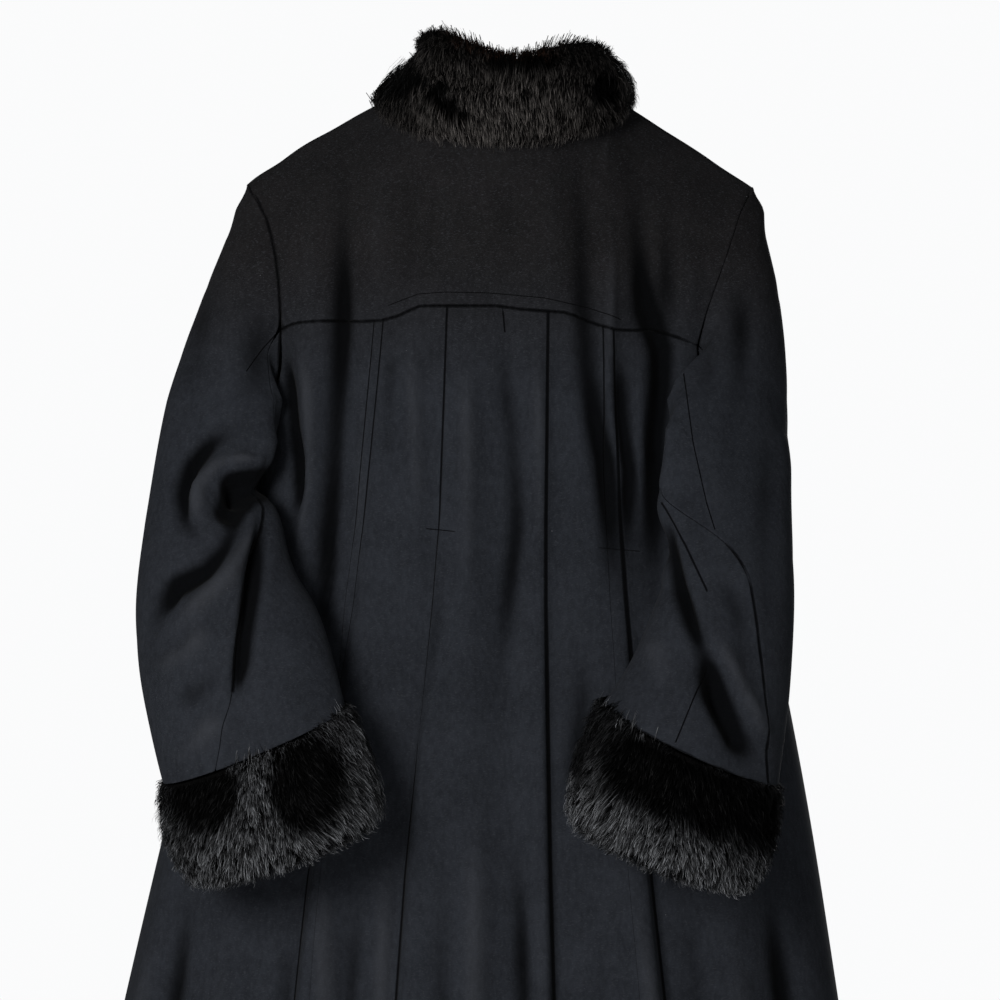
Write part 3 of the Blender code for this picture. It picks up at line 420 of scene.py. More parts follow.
# How far each sleeve's outer side is let out, by height.
sleeveFill = {
    "height": (-0.475, -0.440, -0.405, -0.370, -0.334, -0.299, -0.264,
               -0.229, -0.194, -0.158, -0.123, -0.088, -0.055),
    "left": (0.000, 0.0018, 0.0035, 0.0053, 0.0062, 0.0070, 0.0079,
             0.0070, 0.0079, 0.0097, 0.0108, 0.0065, 0.002),
    "right": (0.000, 0.000, 0.000, 0.0026, 0.0053, 0.0070, 0.0053,
              0.0062, 0.0079, 0.0100, 0.0100, 0.0095, 0.004),
}
bodyCreases = {
    "back": [
        (-8.5, 10, [(135, -11), (143, -88), (143, -141), (143, -192), (146, -246), (149, -290),
         (151, -334), (156, -387), (158, -458), (150, -528)]),
        (6, 7, [(184, -202), (171, -251), (169, -299), (172, -334), (179, -378), (182, -414)]),
        (-13, 5.5, [(194, -216), (189, -260), (186, -290), (181, -317), (180, -343), (184, -392)]),
        (2.6, 7, [(121, -202), (124, -297), (128, -405), (124, -475)]),
        (-3, 7, [(98, -202), (101, -282), (103, -326)]),
        (4, 8, [(82, -202), (78, -264), (73, -370)]),
        (4, 9, [(34, -198), (31, -290), (31, -440)]),
        (-5.5, 8, [(0, -181), (-2, -246), (-8, -290), (-13, -370), (-3, -458), (1, -546)]),
        (-7.5, 10, [(-61, -11), (-70, -106), (-71, -176), (-75, -238), (-82, -282), (-91, -317),
         (-95, -370), (-96, -458)]),
        (4.5, 6, [(-92, -62), (-96, -132), (-94, -216), (-96, -282), (-104, -326), (-105, -378)]),
        (-6, 6, [(-101, -211), (-106, -282), (-113, -326), (-112, -405)]),
        (3, 6, [(-121, -211), (-121, -290), (-121, -370)]),
        (-10, 10, [(-112, -35), (-119, -114), (-129, -185), (-142, -220), (-142, -251), (-138, -290),
         (-136, -352), (-135, -440)]),
        (-3.5, 28, [(-105, -176), (-108, -299), (-121, -475)]),
        (4, 8, [(-28, -202), (-33, -290), (-34, -405)]),
        (-3, 8, [(57, -405), (59, -458), (70, -546)]),
        (-5, 9, [(-73, -475), (-70, -546), (-55, -634)]),
        (6, 11, [(161, -634), (158, -704), (152, -880), (149, -1118)]),
        (-6, 9, [(187, -704), (193, -792), (205, -968), (214, -1118)]),
        (-6, 8, [(124, -669), (128, -704), (135, -792), (138, -1118)]),
        (6, 9, [(103, -634), (104, -704), (108, -880), (110, -1118)]),
        (-4.5, 9, [(50, -660), (52, -774), (52, -1118)]),
        (5, 11, [(26, -581), (24, -704), (26, -880), (26, -1118)]),
        (-7, 8, [(-8, -634), (-15, -704), (-19, -792), (-22, -1118)]),
        (3, 8, [(-29, -634), (-33, -704), (-34, -1118)]),
        (5, 8, [(-108, -651), (-121, -722), (-142, -880), (-159, -1118)]),
        (-3.5, 10, [(-75, -704), (-84, -774), (-91, -880), (-99, -1118)]),
        (5, 9, [(298, -686), (312, -757), (339, -924), (355, -1118)]),
        (-7, 9, [(274, -678), (286, -757), (311, -924), (326, -1118)]),
        (4, 13, [(240, -713), (249, -774), (267, -924), (281, -1118)]),
        (-4, 10, [(223, -722), (226, -792), (231, -924), (242, -1118)]),
        (-8, 10, [(-231, -660), (-244, -757), (-267, -924), (-286, -1118)]),
        (4.5, 12, [(-196, -704), (-207, -774), (-223, -924), (-238, -1118)]),
        (-5, 11, [(-159, -686), (-170, -774), (-184, -924), (-196, -1118)]),
        (2.4, 9, [(168, -79), (170, -141), (175, -194)]),
        (3.2, 10, [(108, -44), (110, -123), (110, -192)]),
        (-3.5, 8, [(80, -44), (81, -114), (87, -185)]),
        (2.4, 10, [(55, -57), (48, -114), (45, -167)]),
        (-2.6, 10, [(0, -57), (-8, -114), (-6, -167)]),
        (2.4, 10, [(-40, -53), (-43, -114), (-47, -176)]),
        (2.2, 7, [(-134, -88), (-133, -141), (-135, -201)]),
        (-5, 8, [(-149, -79), (-147, -141), (-147, -204)]),
        (-2.4, 30, [(-103, -11), (-121, -106), (-129, -229)]),
        (2.2, 7, [(-165, -114), (-165, -202)]),
    ],
    "front": [
        (-3.4, 20, [(125, -60), (140, -200), (152, -360)]),
        (-3.4, 20, [(-115, -60), (-130, -190), (-142, -340)]),
        (6, 18, [(80, -400), (120, -700), (150, -1110)]),
        (-5, 15, [(150, -420), (200, -700), (250, -1110)]),
        (6, 16, [(-80, -430), (-110, -700), (-130, -1110)]),
        (-5, 14, [(-135, -420), (-170, -700), (-210, -1110)]),
    ],
}
# Fine lines pressed or sewn into the cloth, drawn dark as painted shade, as half width and line.
fineLines = {
    "left": [
        (0.0007, [(0.1962, -0.2024), (0.2094, -0.2174), (0.2235, -0.2358)]),
    ],
    "right": [
        (0.0007, [(-0.1593, -0.2429), (-0.1672, -0.3010), (-0.1795, -0.3555), (-0.1857, -0.3758)]),
        (0.0013, [(-0.1399, -0.3555), (-0.1602, -0.3916), (-0.1786, -0.4303)]),
        (0.0009, [(-0.1778, -0.4981), (-0.1663, -0.5280), (-0.1522, -0.5623)]),
    ],
    "back": [
        (0.0010, [(0.0000, -0.1848), (-0.0018, -0.2042)]),
        (0.0006, [(0.0642, -0.3775), (0.0458, -0.3793)]),
        (0.0006, [(-0.0880, -0.3942), (-0.1188, -0.3969)]),
    ],
    "yoke": [
        (0.0005, [(0.0977, -0.1795), (0.0748, -0.1707), (0.0510, -0.1690), (0.0114, -0.1698),
         (-0.0370, -0.1742), (-0.0766, -0.1830), (-0.1030, -0.1927)]),
    ],
}
# Middle line of each sleeve, as (x, y, z), from the shoulder to the cuff.
sleeveMiddles = {
    "left": [(0.12, 0.0, -0.05), (0.22, 0.0, -0.19), (0.256, 0.035, -0.295), (0.256, 0.070, -0.354),
             (0.249, 0.110, -0.416), (0.238, 0.148, -0.485), (0.223, 0.172, -0.546), (0.213, 0.185, -0.585),
             (0.188, 0.208, -0.662)],
    "right": [(-0.12, 0.0, -0.05), (-0.21, 0.0, -0.19), (-0.230, 0.038, -0.295), (-0.217, 0.075, -0.344),
              (-0.204, 0.113, -0.400), (-0.192, 0.145, -0.470), (-0.173, 0.172, -0.541),
              (-0.159, 0.185, -0.584), (-0.137, 0.208, -0.667)],
}


def nearestOnLine(points, line):
    line = np.array(line)
    best = np.full(len(points), nowhere)
    spot = np.zeros_like(points)
    for start, end in zip(line, line[1:]):
        part = np.clip((points - start) @ (end - start) / np.dot(end - start, end - start), 0, 1)
        here = start + part[:, None] * (end - start)
        away = np.linalg.norm(points - here, axis=1)
        closer = away < best
        best[closer] = away[closer]
        spot[closer] = here[closer]
    return spot


def readPoints(mesh):
    points = np.empty(len(mesh.vertices) * 3)
    mesh.vertices.foreach_get("co", points)
    return points.reshape(-1, 3)


def writePoints(mesh, points):
    mesh.vertices.foreach_set("co", points.reshape(-1))
    mesh.update()


wall = {
    "merge": 1e-6,
    "joinFaces": math.radians(40),
    "joinShapes": math.radians(75),
    "rimAngle": math.radians(50),
    "rimCrease": 0.86,
    "rimWidth": 0.0032,   # no rim is wider than this
    "seamStep": 0.0015,
    "hemHeight": -1.112,
    "lapReach": 0.036,
}


def smoothCopy(name, nodeName, levels, edgeCrease, relax=0):
    # A finer copy of a node's wall: merged, its triangles joined in pairs, then subdivided.
    shell = bmesh.new()
    shell.from_mesh(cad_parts[nodeName].data)
    bmesh.ops.remove_doubles(shell, verts=shell.verts, dist=wall["merge"])
    bmesh.ops.join_triangles(
        shell, faces=shell.faces, angle_face_threshold=wall["joinFaces"],
        angle_shape_threshold=wall["joinShapes"], topology_influence=1.0,
    )
    sharp = shell.edges.layers.float.new("crease_edge")
    for edge in shell.edges:
        if len(edge.link_faces) == 2 and edge.calc_face_angle() > wall["rimAngle"]:
            edge[sharp] = edgeCrease
    inner = [vertex for vertex in shell.verts if all(edge[sharp] == 0 for edge in vertex.link_edges)]
    for turn in range(relax):
        bmesh.ops.smooth_vert(
            shell, verts=inner, factor=0.5, use_axis_x=True, use_axis_y=True, use_axis_z=True,
        )
    piece = putIn(name, meshOf(name, shell))
    finer = piece.modifiers.new("finer", "SUBSURF")
    finer.levels = levels
    finer.render_levels = levels
    graph = bpy.context.evaluated_depsgraph_get()
    fine = bpy.data.meshes.new_from_object(piece.evaluated_get(graph))
    piece.modifiers.clear()
    piece.data = fine
    fine.name = name
    fine.shade_smooth()
    fine.materials.clear()
    return piece


def finishPiece(piece, nodeName, material):
    piece.data.materials.append(material)
    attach(piece, "root")
    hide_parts(nodeName)


# Each panel: its node, subdivision, creases, and the flat cut's width, length and area.
panels = {
    "woolBack": {"node": "back", "levels": 2, "creases": "back", "lines": "back",
                 "flat": (0.95, 0.95), "area": 0.62},
    "woolYoke": {"node": "back_yoke", "levels": 2, "creases": "back", "lines": "yoke", "relax": 12,
                 "flat": (0.50, 0.24), "area": 0.079},
    "woolFrontLeft": {"node": "front_left", "levels": 2, "creases": "front",
                      "flat": (0.50, 1.16), "area": 0.375},
    "woolFrontRight": {"node": "front_right", "levels": 2, "creases": "front",
                       "flat": (0.48, 1.16), "area": 0.36},
    "woolSleeveLeftTop": {"node": "sleeve_left_top", "levels": 3, "side": "left",
                          "flat": (0.32, 0.56), "area": 0.116},
    "woolSleeveLeftUnder": {"node": "sleeve_left_under", "levels": 3, "side": "left",
                            "flat": (0.16, 0.50), "area": 0.042},
    "woolSleeveRightTop": {"node": "sleeve_right_top", "levels": 3, "side": "right",
                           "flat": (0.32, 0.56), "area": 0.093},
    "woolSleeveRightUnder": {"node": "sleeve_right_under", "levels": 3, "side": "right",
                             "flat": (0.18, 0.50), "area": 0.048},
}
outward = {"left": 1, "right": -1}
seams = {
    "near": 0.003,
    "elbowTop": {"left": -0.345, "right": -0.390},   # the elbow seam shows between these heights
    "elbowLow": {"left": -0.520, "right": -0.600},
    "lap": 0.0006,            # how far neighbours lap at the shoulders, sides and armholes
    "lapWidth": 0.006,
    "flatter": 0.0010,        # how much less painted seam shade the right armhole takes, where its seam lies flatter
    "flatterAcross": (0.15, 0.17),
    "flatterHeights": (-0.36, -0.30),
    "armholeFrom": 0.15,
    "armholeLow": -0.33,
}

# The pleats' lines by height, and the half width of the painted shadow line that each draws.
pleatLines = {
    "height": (-1.120, -0.792, -0.680, -0.440, -0.370, -0.180),
    "leftOuter": (0.222, 0.184, 0.171, 0.131, 0.122, 0.104),
    "leftInner": (0.115, 0.094, 0.086, 0.062, 0.056, 0.049),
    "rightInner": (-0.055, -0.045, -0.042, -0.038, -0.038, -0.040),
    "rightOuter": (-0.185, -0.142, -0.130, -0.109, -0.105, -0.096),
    "leftSecond": (0.200, 0.170, 0.160, 0.139, 0.1285, 0.112),
    "rightSecond": (-0.150, -0.120, -0.110, -0.0945, -0.0925, -0.0875),
}
pleatMarks = {
    "height": (-1.120, -0.700, -0.560, -0.400, -0.340, -0.185),
    "leftOuter": (0.0018, 0.0012, 0.0001, 0.0004, 0.0008, 0.0008),
    "leftInner": (0.0022, 0.0016, 0.0001, 0.0006, 0.0013, 0.0014),
    "rightInner": (0.0026, 0.0026, 0.0026, 0.0026, 0.0024, 0.0020),
    "rightOuter": (0.0022, 0.0022, 0.0030, 0.0030, 0.0020, 0.0015),
    "leftSecond": (0.0001, 0.0001, 0.0001, 0.0002, 0.0006, 0.0006),
    "rightSecond": (0.0001, 0.0001, 0.0001, 0.0002, 0.0008, 0.0009),
}


def seamPoints(nodeName):
    # Points along a panel's sewn rims. The hem and the front edge are left out.
    shell = bmesh.new()
    shell.from_mesh(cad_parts[nodeName].data)
    bmesh.ops.remove_doubles(shell, verts=shell.verts, dist=wall["merge"])
    found = []
    for edge in shell.edges:
        widths = [min(side.calc_length() for side in face.edges) for face in edge.link_faces]
        narrow = len(widths) == 2 and min(widths) < wall["rimWidth"]
        if narrow and edge.calc_face_angle() > wall["rimAngle"]:
            start, end = (vertex.co for vertex in edge.verts)
            middle = (start + end) / 2
            hem = middle.z < wall["hemHeight"]
            frontEdge = middle.y < 0 and abs(middle.x) < wall["lapReach"]
            if not hem and not frontEdge:
                count = max(int((end - start).length / wall["seamStep"]), 1)
                found += [start.lerp(end, part / count) for part in range(count + 1)]
    shell.free()
    return found


def nearestDistances(points, targets):
    tree = KDTree(len(targets))
    for index, target in enumerate(targets):
        tree.insert(target, index)
    tree.balance()
    return np.array([tree.find(Vector(point))[2] for point in points])


def addAttribute(mesh, name, kind, values):
    layer = mesh.attributes.new(name, kind, "POINT")
    layer.data.foreach_set("vector" if kind == "FLOAT_VECTOR" else "value", np.ravel(values))


def armholePoints(side):
    around = ("back", "back_yoke", "front_left", "front_right")
    return [point for nodeName in around for point in seamPoints(nodeName)
            if point.x * outward[side] > seams["armholeFrom"] and point.z > seams["armholeLow"]]


def markPanel(mesh, plan, points):
    # What the wool's material reads: the way to the nearest seam and to the pleats' lines, where it paints
    # shade.
    sewn = seamPoints(plan["node"])
    if "side" in plan:
        # The upper part of the elbow seam is turned away from the back.
        near = nearestDistances(sewn, armholePoints(plan["side"]))
        top, low = seams["elbowTop"][plan["side"]], seams["elbowLow"][plan["side"]]
        sewn = [seam for seam, away in zip(sewn, near) if away < seams["near"] or low < seam.z < top]
    rims = nearestDistances(points, sewn)
    flatter = ease(*seams["flatterAcross"], -points[:, 0]) * ease(*seams["flatterHeights"], points[:, 2])
    addAttribute(mesh, "rim", "FLOAT", rims + seams["flatter"] * flatter)
    far = np.full(len(points), nowhere)
    for layer, names in (("pleatsLeft", ("leftOuter", "leftInner", "leftSecond")),
                         ("pleatsRight", ("rightInner", "rightOuter", "rightSecond"))):
        offsets = []
        for name in names:
            if plan["node"] == "back":
                spot = byHeight(points, pleatLines, name)
                mark = byHeight(points, pleatMarks, name)
                offsets.append(np.where(points[:, 1] > 0, (points[:, 0] - spot) / mark, far))
            else:
                offsets.append(far)
        addAttribute(mesh, layer, "FLOAT_VECTOR", np.stack(offsets, axis=1))
    return rims


lineMarks = {
    "away": 0.008,
    "beyond": 0.002,
    "facing": 0.1,
}


def markLines(mesh, flat, facing, lines):
    # The signed way across each fine line, the way to it, and the way beyond its ends, for the painted
    # shade along it.
    best, across, beyond = (np.full(len(flat), nowhere) for layer in range(3))
    for half, line in lines:
        line = np.array(line)
        for start, end in zip(line, line[1:]):
            step = end - start
            length = np.linalg.norm(step)
            part = np.clip((flat - start) @ step / length ** 2, 0, 1)
            offset = flat - start - part[:, None] * step
            away = np.linalg.norm(offset, axis=1)
            signed = (step[0] * offset[:, 1] - step[1] * offset[:, 0]) / length
            closer = away < best
            best[closer] = away[closer]
            across[closer] = signed[closer] / half
            beyond[closer] = (away - np.abs(signed))[closer] / lineMarks["beyond"]
    away = np.where(facing > lineMarks["facing"], best / lineMarks["away"], nowhere)
    addAttribute(mesh, "fineLine", "FLOAT_VECTOR", np.stack((across, away, beyond), axis=1))


def liftShoulders(points, onSleeve):
    # One field moves all the panels that meet at a shoulder's corner.
    for side in ("left", "right"):
        near = 1 - ease(0.0, shoulders["reach"], np.linalg.norm(points - shoulders[side], axis=1))
        points += (near * shoulders["amount"])[:, None] * np.array(shoulders[side + "Way"])
        if onSleeve:
            # The sleeve's head stands up to the shoulder seam's end.
            ridge = 1 - ease(0.0, shoulders["ridgeWidth"], np.abs(points[:, 1]))
            points[:, 2] += near * ridge * shoulders["ridge"]


sleeveShape = {
    "fillAcross": (0.1, 0.9),
    "fillAway": (0.0, 0.020),
    "sagSpan": 0.080,
    "sagAway": (0.003, 0.022),
    "sagBehind": (0.02, 0.06),
    "sagLift": 0.45,
    "lapFrom": (0.10, 0.14),
    "behind": (-0.05, 0.35),
    "before": (0.0, 0.45),
    "foldTop": -0.14,
    "foldReach": 0.06,
    "outerCalm": 0.8,
    "outerFrom": (0.75, 1.0),
}
bodyShape = {
    "girth": (11.0, 44.0, 0.0),       # turns a place into the way out of the body there
    "facing": (0.1, 0.6),
    "sideCalm": (0.01, 0.05),
    "yokeCalm": 0.45,
    "yokeHeights": (-0.20, -0.12),
    "shoulderHeight": -0.15,
    "shoulderCalm": (0.0, 0.02),
    "lapDepth": (0.015, 0.025),
}
foldFull = 0.010


def shapeSleeve(points, side):
    # The upper sleeve's back sags toward the middle, over the armhole's lower end.
    shape, plan, outer = sleeveShape, sleeveSag[side], outward[side]
    away = nearestDistances(points, armholePoints(side))
    ways = unit(points - nearestOnLine(points, sleeveMiddles[side]))
    fill = byHeight(points, sleeveFill, side)
    fill = fill * ease(*shape["fillAcross"], ways[:, 0] * outer) * ease(*shape["fillAway"], away)
    shift = byHeight(points, plan, "shift")
    edge = byHeight(points, plan, "edge")
    near = 1 - ease(0, 1, (np.abs(points[:, 0]) - edge) / shape["sagSpan"])
    sag = shift * near * ease(*shape["sagAway"], away) * ease(*shape["sagBehind"], points[:, 1])
    # The head laps the armhole's rim a little, so that no light shows through.
    lap = 1 - ease(0.0, seams["lapWidth"], away)
    lap = seams["lap"] * lap * ease(*shape["lapFrom"], points[:, 0] * outer)
    points[:, 0] += outer * (fill - sag - lap)
    points[:, 1] += shape["sagLift"] * np.maximum(sag, 0)


def sleeveFolds(points, flat, side):
    # The way out at each point of a sleeve, and how high its cloth stands there.
    shape = sleeveShape
    ways = unit(points - nearestOnLine(points, sleeveMiddles[side]))
    behind = creaseHeight(flat, sleeveCreases[side]) * ease(*shape["behind"], ways[:, 1])
    before = creaseHeight(flat, sleeveCreases[side + "Front"]) * ease(*shape["before"], -ways[:, 1])
    height = (behind + before) * ease(0.0, shape["foldReach"], shape["foldTop"] - points[:, 2])
    height *= 1 - shape["outerCalm"] * ease(*shape["outerFrom"], ways[:, 0] * outward[side])
    return ways, ways[:, 1], height


def bodyFolds(points, flat, creases, rims):
    # The same for the back, the yoke and the fronts, calmer toward the seams that they share.
    shape = bodyShape
    ways = unit(points * np.array(shape["girth"]))
    facing = -ways[:, 1] if creases == "front" else ways[:, 1]
    height = creaseHeight(flat, bodyCreases[creases]) * ease(*shape["facing"], facing)
    calm = ease(*shape["shoulderCalm"], rims)
    height *= ease(*shape["sideCalm"], np.abs(points[:, 1]))
    height *= np.where(flat[:, 1] > shape["shoulderHeight"], calm, 1)
    height *= 1 - shape["yokeCalm"] * ease(*shape["yokeHeights"], points[:, 2])
    return ways, facing, height


def lapSides(points, creases, rims):
    # The side and shoulder seams lap a little, so that no light shows through.
    lap = 1 - ease(0.0, seams["lapWidth"], rims)
    lap = lap * (1 - ease(*bodyShape["lapDepth"], np.abs(points[:, 1])))
    points[:, 1] += seams["lap"] * lap * (1 if creases == "front" else -1)


def dressPanel(name, plan):
    piece = smoothCopy(name, plan["node"], plan["levels"], wall["rimCrease"], plan.get("relax", 0))
    points = readPoints(piece.data)
    rims = markPanel(piece.data, plan, points)
    flat = points[:, [0, 2]]
    liftShoulders(points, "side" in plan)
    if "side" in plan:
        shapeSleeve(points, plan["side"])
        flat = points[:, [0, 2]]
        ways, facing, height = sleeveFolds(points, flat, plan["side"])
    else:
        ways, facing, height = bodyFolds(points, flat, plan["creases"], rims)
        lapSides(points, plan["creases"], rims)
    points += ways * height[:, None]
    # The crease height also drives the wool's painted shade in troughs and painted highlight on ridges.
    addAttribute(piece.data, "fold", "FLOAT", height / foldFull)
    markLines(piece.data, flat, facing, fineLines.get(plan.get("side", plan.get("lines")), []))
    writePoints(piece.data, points)
    finishPiece(piece, plan["node"], woolMaterial)


for name, plan in panels.items():
    dressPanel(name, plan)
print("stage: wool panels dressed")

# Fur: hairs rooted under the solid's surface, their tips about on it, drawn together in tufts.
# Bare spots are (x, z, half width, half height), seen from behind: their hairs are thinned, sunk and
# darkened as painted shade. Glows are spots of painted highlight, and lit is the painted highlight toward a
# band's lower edge.
furs = {
    "furCollar": {
        "node": "collar", "hairs": 39000, "tufts": 1500, "seed": 11, "material": collarHair,
        "spots": [(0.062, 0.003, 0.009, 0.011), (0.051, -0.010, 0.010, 0.010),
                  (0.040, -0.019, 0.011, 0.007), (0.100, 0.008, 0.020, 0.012),
                  (-0.090, 0.004, 0.013, 0.014), (-0.015, 0.030, 0.030, 0.009)],
        "glows": [(0.082, 0.034, 0.026, 0.024, 0.55), (-0.086, 0.028, 0.024, 0.020, 0.5),
                  (-0.020, -0.012, 0.045, 0.030, 1.0)],
        "risers": [], "riserShare": 0.5, "above": 0.003,
        "litFrom": 0.05, "litTo": 0.65, "litLeast": 0.20, "litMost": 0.85, "sideFade": 0.075,
    },
    "furCuffLeft": {
        "node": "cuff_left", "side": "left",
        "hairs": 36000, "tufts": 1100, "seed": 23, "material": cuffHair,
        "spots": [(0.266, -0.614, 0.032, 0.033), (0.167, -0.606, 0.036, 0.044)],
        "glows": [(0.217, -0.612, 0.016, 0.060, 1.0), (0.124, -0.580, 0.015, 0.042, 0.9),
                  (0.292, -0.640, 0.012, 0.026, 0.8)],
        "risers": [(0.222, -0.578, 0.017), (0.146, -0.542, 0.013)], "riserShare": 0.0, "above": 0.020,
        "litFrom": 0.45, "litTo": 0.80, "litLeast": 0.40, "litMost": 1.0, "sideFade": 0.0,
    },
    "furCuffRight": {
        "node": "cuff_right", "side": "right",
        "hairs": 36000, "tufts": 1100, "seed": 37, "material": cuffHair,
        "spots": [(-0.116, -0.588, 0.030, 0.028), (-0.152, -0.604, 0.034, 0.032),
                  (-0.190, -0.620, 0.032, 0.028), (-0.224, -0.632, 0.024, 0.024)],
        "glows": [(-0.078, -0.600, 0.014, 0.026, 0.35), (-0.146, -0.628, 0.012, 0.018, 0.6)],
        "risers": [(-0.107, -0.558, 0.032)], "riserShare": 0.0, "above": 0.020,
        "litFrom": 0.58, "litTo": 0.80, "litLeast": 0.12, "litMost": 1.15, "sideFade": 0.0,
    },
}
# How much the collar leans to one side, by height.
collarLean = {
    "height": (-0.020, 0.000, 0.012, 0.025, 0.039, 0.053, 0.065),
    "left": (1.00, 0.97, 0.875, 0.79, 0.76, 0.88, 0.92),
    "right": (1.00, 1.00, 1.00, 1.01, 1.04, 1.12, 1.14),
}
furShape = {
    "depth": 0.011,       # how far under the surface a hair is rooted
    "slide": 0.016,       # how far along the lie it reaches
    "slideSpread": 0.2,
    "slideLimits": (0.5, 1.5),
    "slideOver": 0.002,   # how far a hair's root may slide above the band's rim
    "proud": 0.0022,      # how far most tips stand proud
    "proudMost": 0.0060,  # and the most that any tip does
    "proudShare": 0.8,
    "stray": 0.0011,      # how unevenly the tips lie
    "pull": 0.34,         # how strongly a tuft draws its hairs together
    "pullSpread": (0.3, 1.4),
    "tuftStray": 0.0022,
    "tuftRise": (-0.0015, 0.0030),
    "width": 0.00050,
    "widthSpread": (0.7, 1.4),
    "twist": 0.5,
    "arch": 0.45,
    "bends": (0.36, 0.72),
    "taper": 0.8,
    "rootShare": 0.15,
    "wander": 0.13,
    "swirl": 0.16,
    "swirlScale": 60,
    "cuffFan": 10.0,
    "collarFan": 1.8,
    "middle": (0.0, 0.004, 0.0),
    "round": (1.0, 1.25, 0.0),
    "bins": 48,
}
# Where hair grows: how far a face has to turn that way, and its share of hairs.
furGrowth = {
    "outside": (0.15, 1.0),
    "mouth": (-0.55, 0.8),
    "top": (0.3, 1.0),
    "inside": (-0.3, 0.35),
    "under": (-0.6, 0.15),
}
bareAndShadedFur = {
    "edge": (0.6, 1.5),
    "facing": (-0.1, 0.3),
    "thin": 0.62,         # the share of hairs that a bare spot loses
    "sink": 0.010,        # how far its tips sink
    # how much darker the hairs in a bare spot are painted: painted shade
    "dark": 0.97,
}
# Hairs that stand up over the band's upper rim.
risers = {
    "share": 0.45,
    "below": (0.004, 0.011),
    "turn": -0.55,
    "power": 1.5,
    # how much painted highlight the standing hairs take
    "lit": 0.9,
}
# Painted highlights and painted shade on the hairs, and where the collar's hairs are brown.
furTone = {
    "facing": (0.0, 0.3),
    "leastBand": 1e-3,
    "sideShare": (0.6, 1.2),
    "sideDark": 0.6,
    "glint": 0.95,
    "tuftGlint": 0.3,
    "power": 3,
    "brownBelow": (0.004, 0.016),
    "brownAcross": (0.03, 0.06),
}
peltShape = {
    "levels": 2,
    "rimCrease": 0.2,
    "shrink": 0.009,      # how far the pelt is drawn in
    "outside": (-0.2, 0.6),
    "top": (0.2, 0.8),
    "mouth": (0.3, 0.8),
}


def lean(points, plan):
    if "side" not in plan:
        left = byHeight(points, collarLean, "left")
        right = byHeight(points, collarLean, "right")
        points[:, 0] *= np.where(points[:, 0] > 0, left, right)


def meshArrays(mesh):
    mesh.calc_loop_triangles()
    corners = np.empty(len(mesh.loop_triangles) * 3, dtype=np.int64)
    mesh.loop_triangles.foreach_get("vertices", corners)
    return readPoints(mesh), corners.reshape(-1, 3)


def outsideOf(points, plan):
    # The way out from the middle line of the cuff or of the neck.
    if "side" in plan:
        return unit(points - nearestOnLine(points, sleeveMiddles[plan["side"]]))
    return unit((points - np.array(furShape["middle"])) * np.array(furShape["round"]))


def downOf(plan):
    # The way down a cuff or the collar, and a point on its middle line.
    if "side" in plan:
        line = np.array(sleeveMiddles[plan["side"]])
        return unit(line[-1] - line[-2]), line[-1]
    return np.array((0.0, 0.0, -1.0)), np.array(furShape["middle"])


def edgePoints(mesh, count=24):
    ends = np.empty(len(mesh.edges) * 2, dtype=np.int64)
    mesh.edges.foreach_get("vertices", ends)
    points = readPoints(mesh)
    starts, stops = points[ends[::2]], points[ends[1::2]]
    parts = np.linspace(0, 1, count)[:, None, None]
    return (starts + (stops - starts) * parts).reshape(-1, 3)


def bandPlace(spots, plan):
    # How far below its upper rim each spot lies, and the band's own height there.
    down, middle = downOf(plan)
    sideways = unit(np.cross(down, (0.0, 1.0, 0.0)))
    forward = np.cross(sideways, down)
    bins = furShape["bins"]

    def split(points):
        away = points - middle
        turn = np.arctan2(away @ sideways, away @ forward) / (2 * math.pi) + 0.5
        return away @ down, np.minimum((turn * bins).astype(int), bins - 1)

    depths, places = split(edgePoints(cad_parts[plan["node"]].data))
    top = np.full(bins, np.inf)
    low = np.full(bins, -np.inf)
    np.minimum.at(top, places, depths)
    np.maximum.at(low, places, depths)
    for index in range(bins):
        if not np.isfinite(top[index]):
            top[index], low[index] = top[index - 1], low[index - 1]
    top = (top + np.roll(top, 1) + np.roll(top, -1)) / 3
    low = (low + np.roll(low, 1) + np.roll(low, -1)) / 3
    depths, places = split(spots)
    return depths - top[places], low[places] - top[places]


def furSamples(plan, rng):
    points, corners = meshArrays(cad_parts[plan["node"]].data)
    a, b, c = (points[corners[:, index]] for index in range(3))
    cross = np.cross(b - a, c - a)
    normals = unit(cross)
    facing = np.sum(normals * outsideOf((a + b + c) / 3, plan), axis=1)
    way, most = furGrowth["outside"]
    share = np.where(facing > way, most, 0.0)
    if "side" in plan:
        way, most = furGrowth["mouth"]
        share = np.maximum(share, np.where(normals[:, 2] < way, most, 0.0))
    else:
        way, most = furGrowth["top"]
        share = np.maximum(share, np.where(normals[:, 2] > way, most, 0.0))
        way, most = furGrowth["inside"]
        share = np.maximum(share, np.where(facing < way, most, 0.0))
        way, most = furGrowth["under"]
        share = np.where(normals[:, 2] < way, most, share)
    chance = np.linalg.norm(cross, axis=1) * share
    picked = rng.choice(len(chance), plan["hairs"], p=chance / chance.sum())
    u, v = rng.random((2, plan["hairs"]))
    flip = u + v > 1
    u[flip], v[flip] = 1 - u[flip], 1 - v[flip]
    spots = a[picked] + (b - a)[picked] * u[:, None] + (c - a)[picked] * v[:, None]
    return spots, normals[picked]


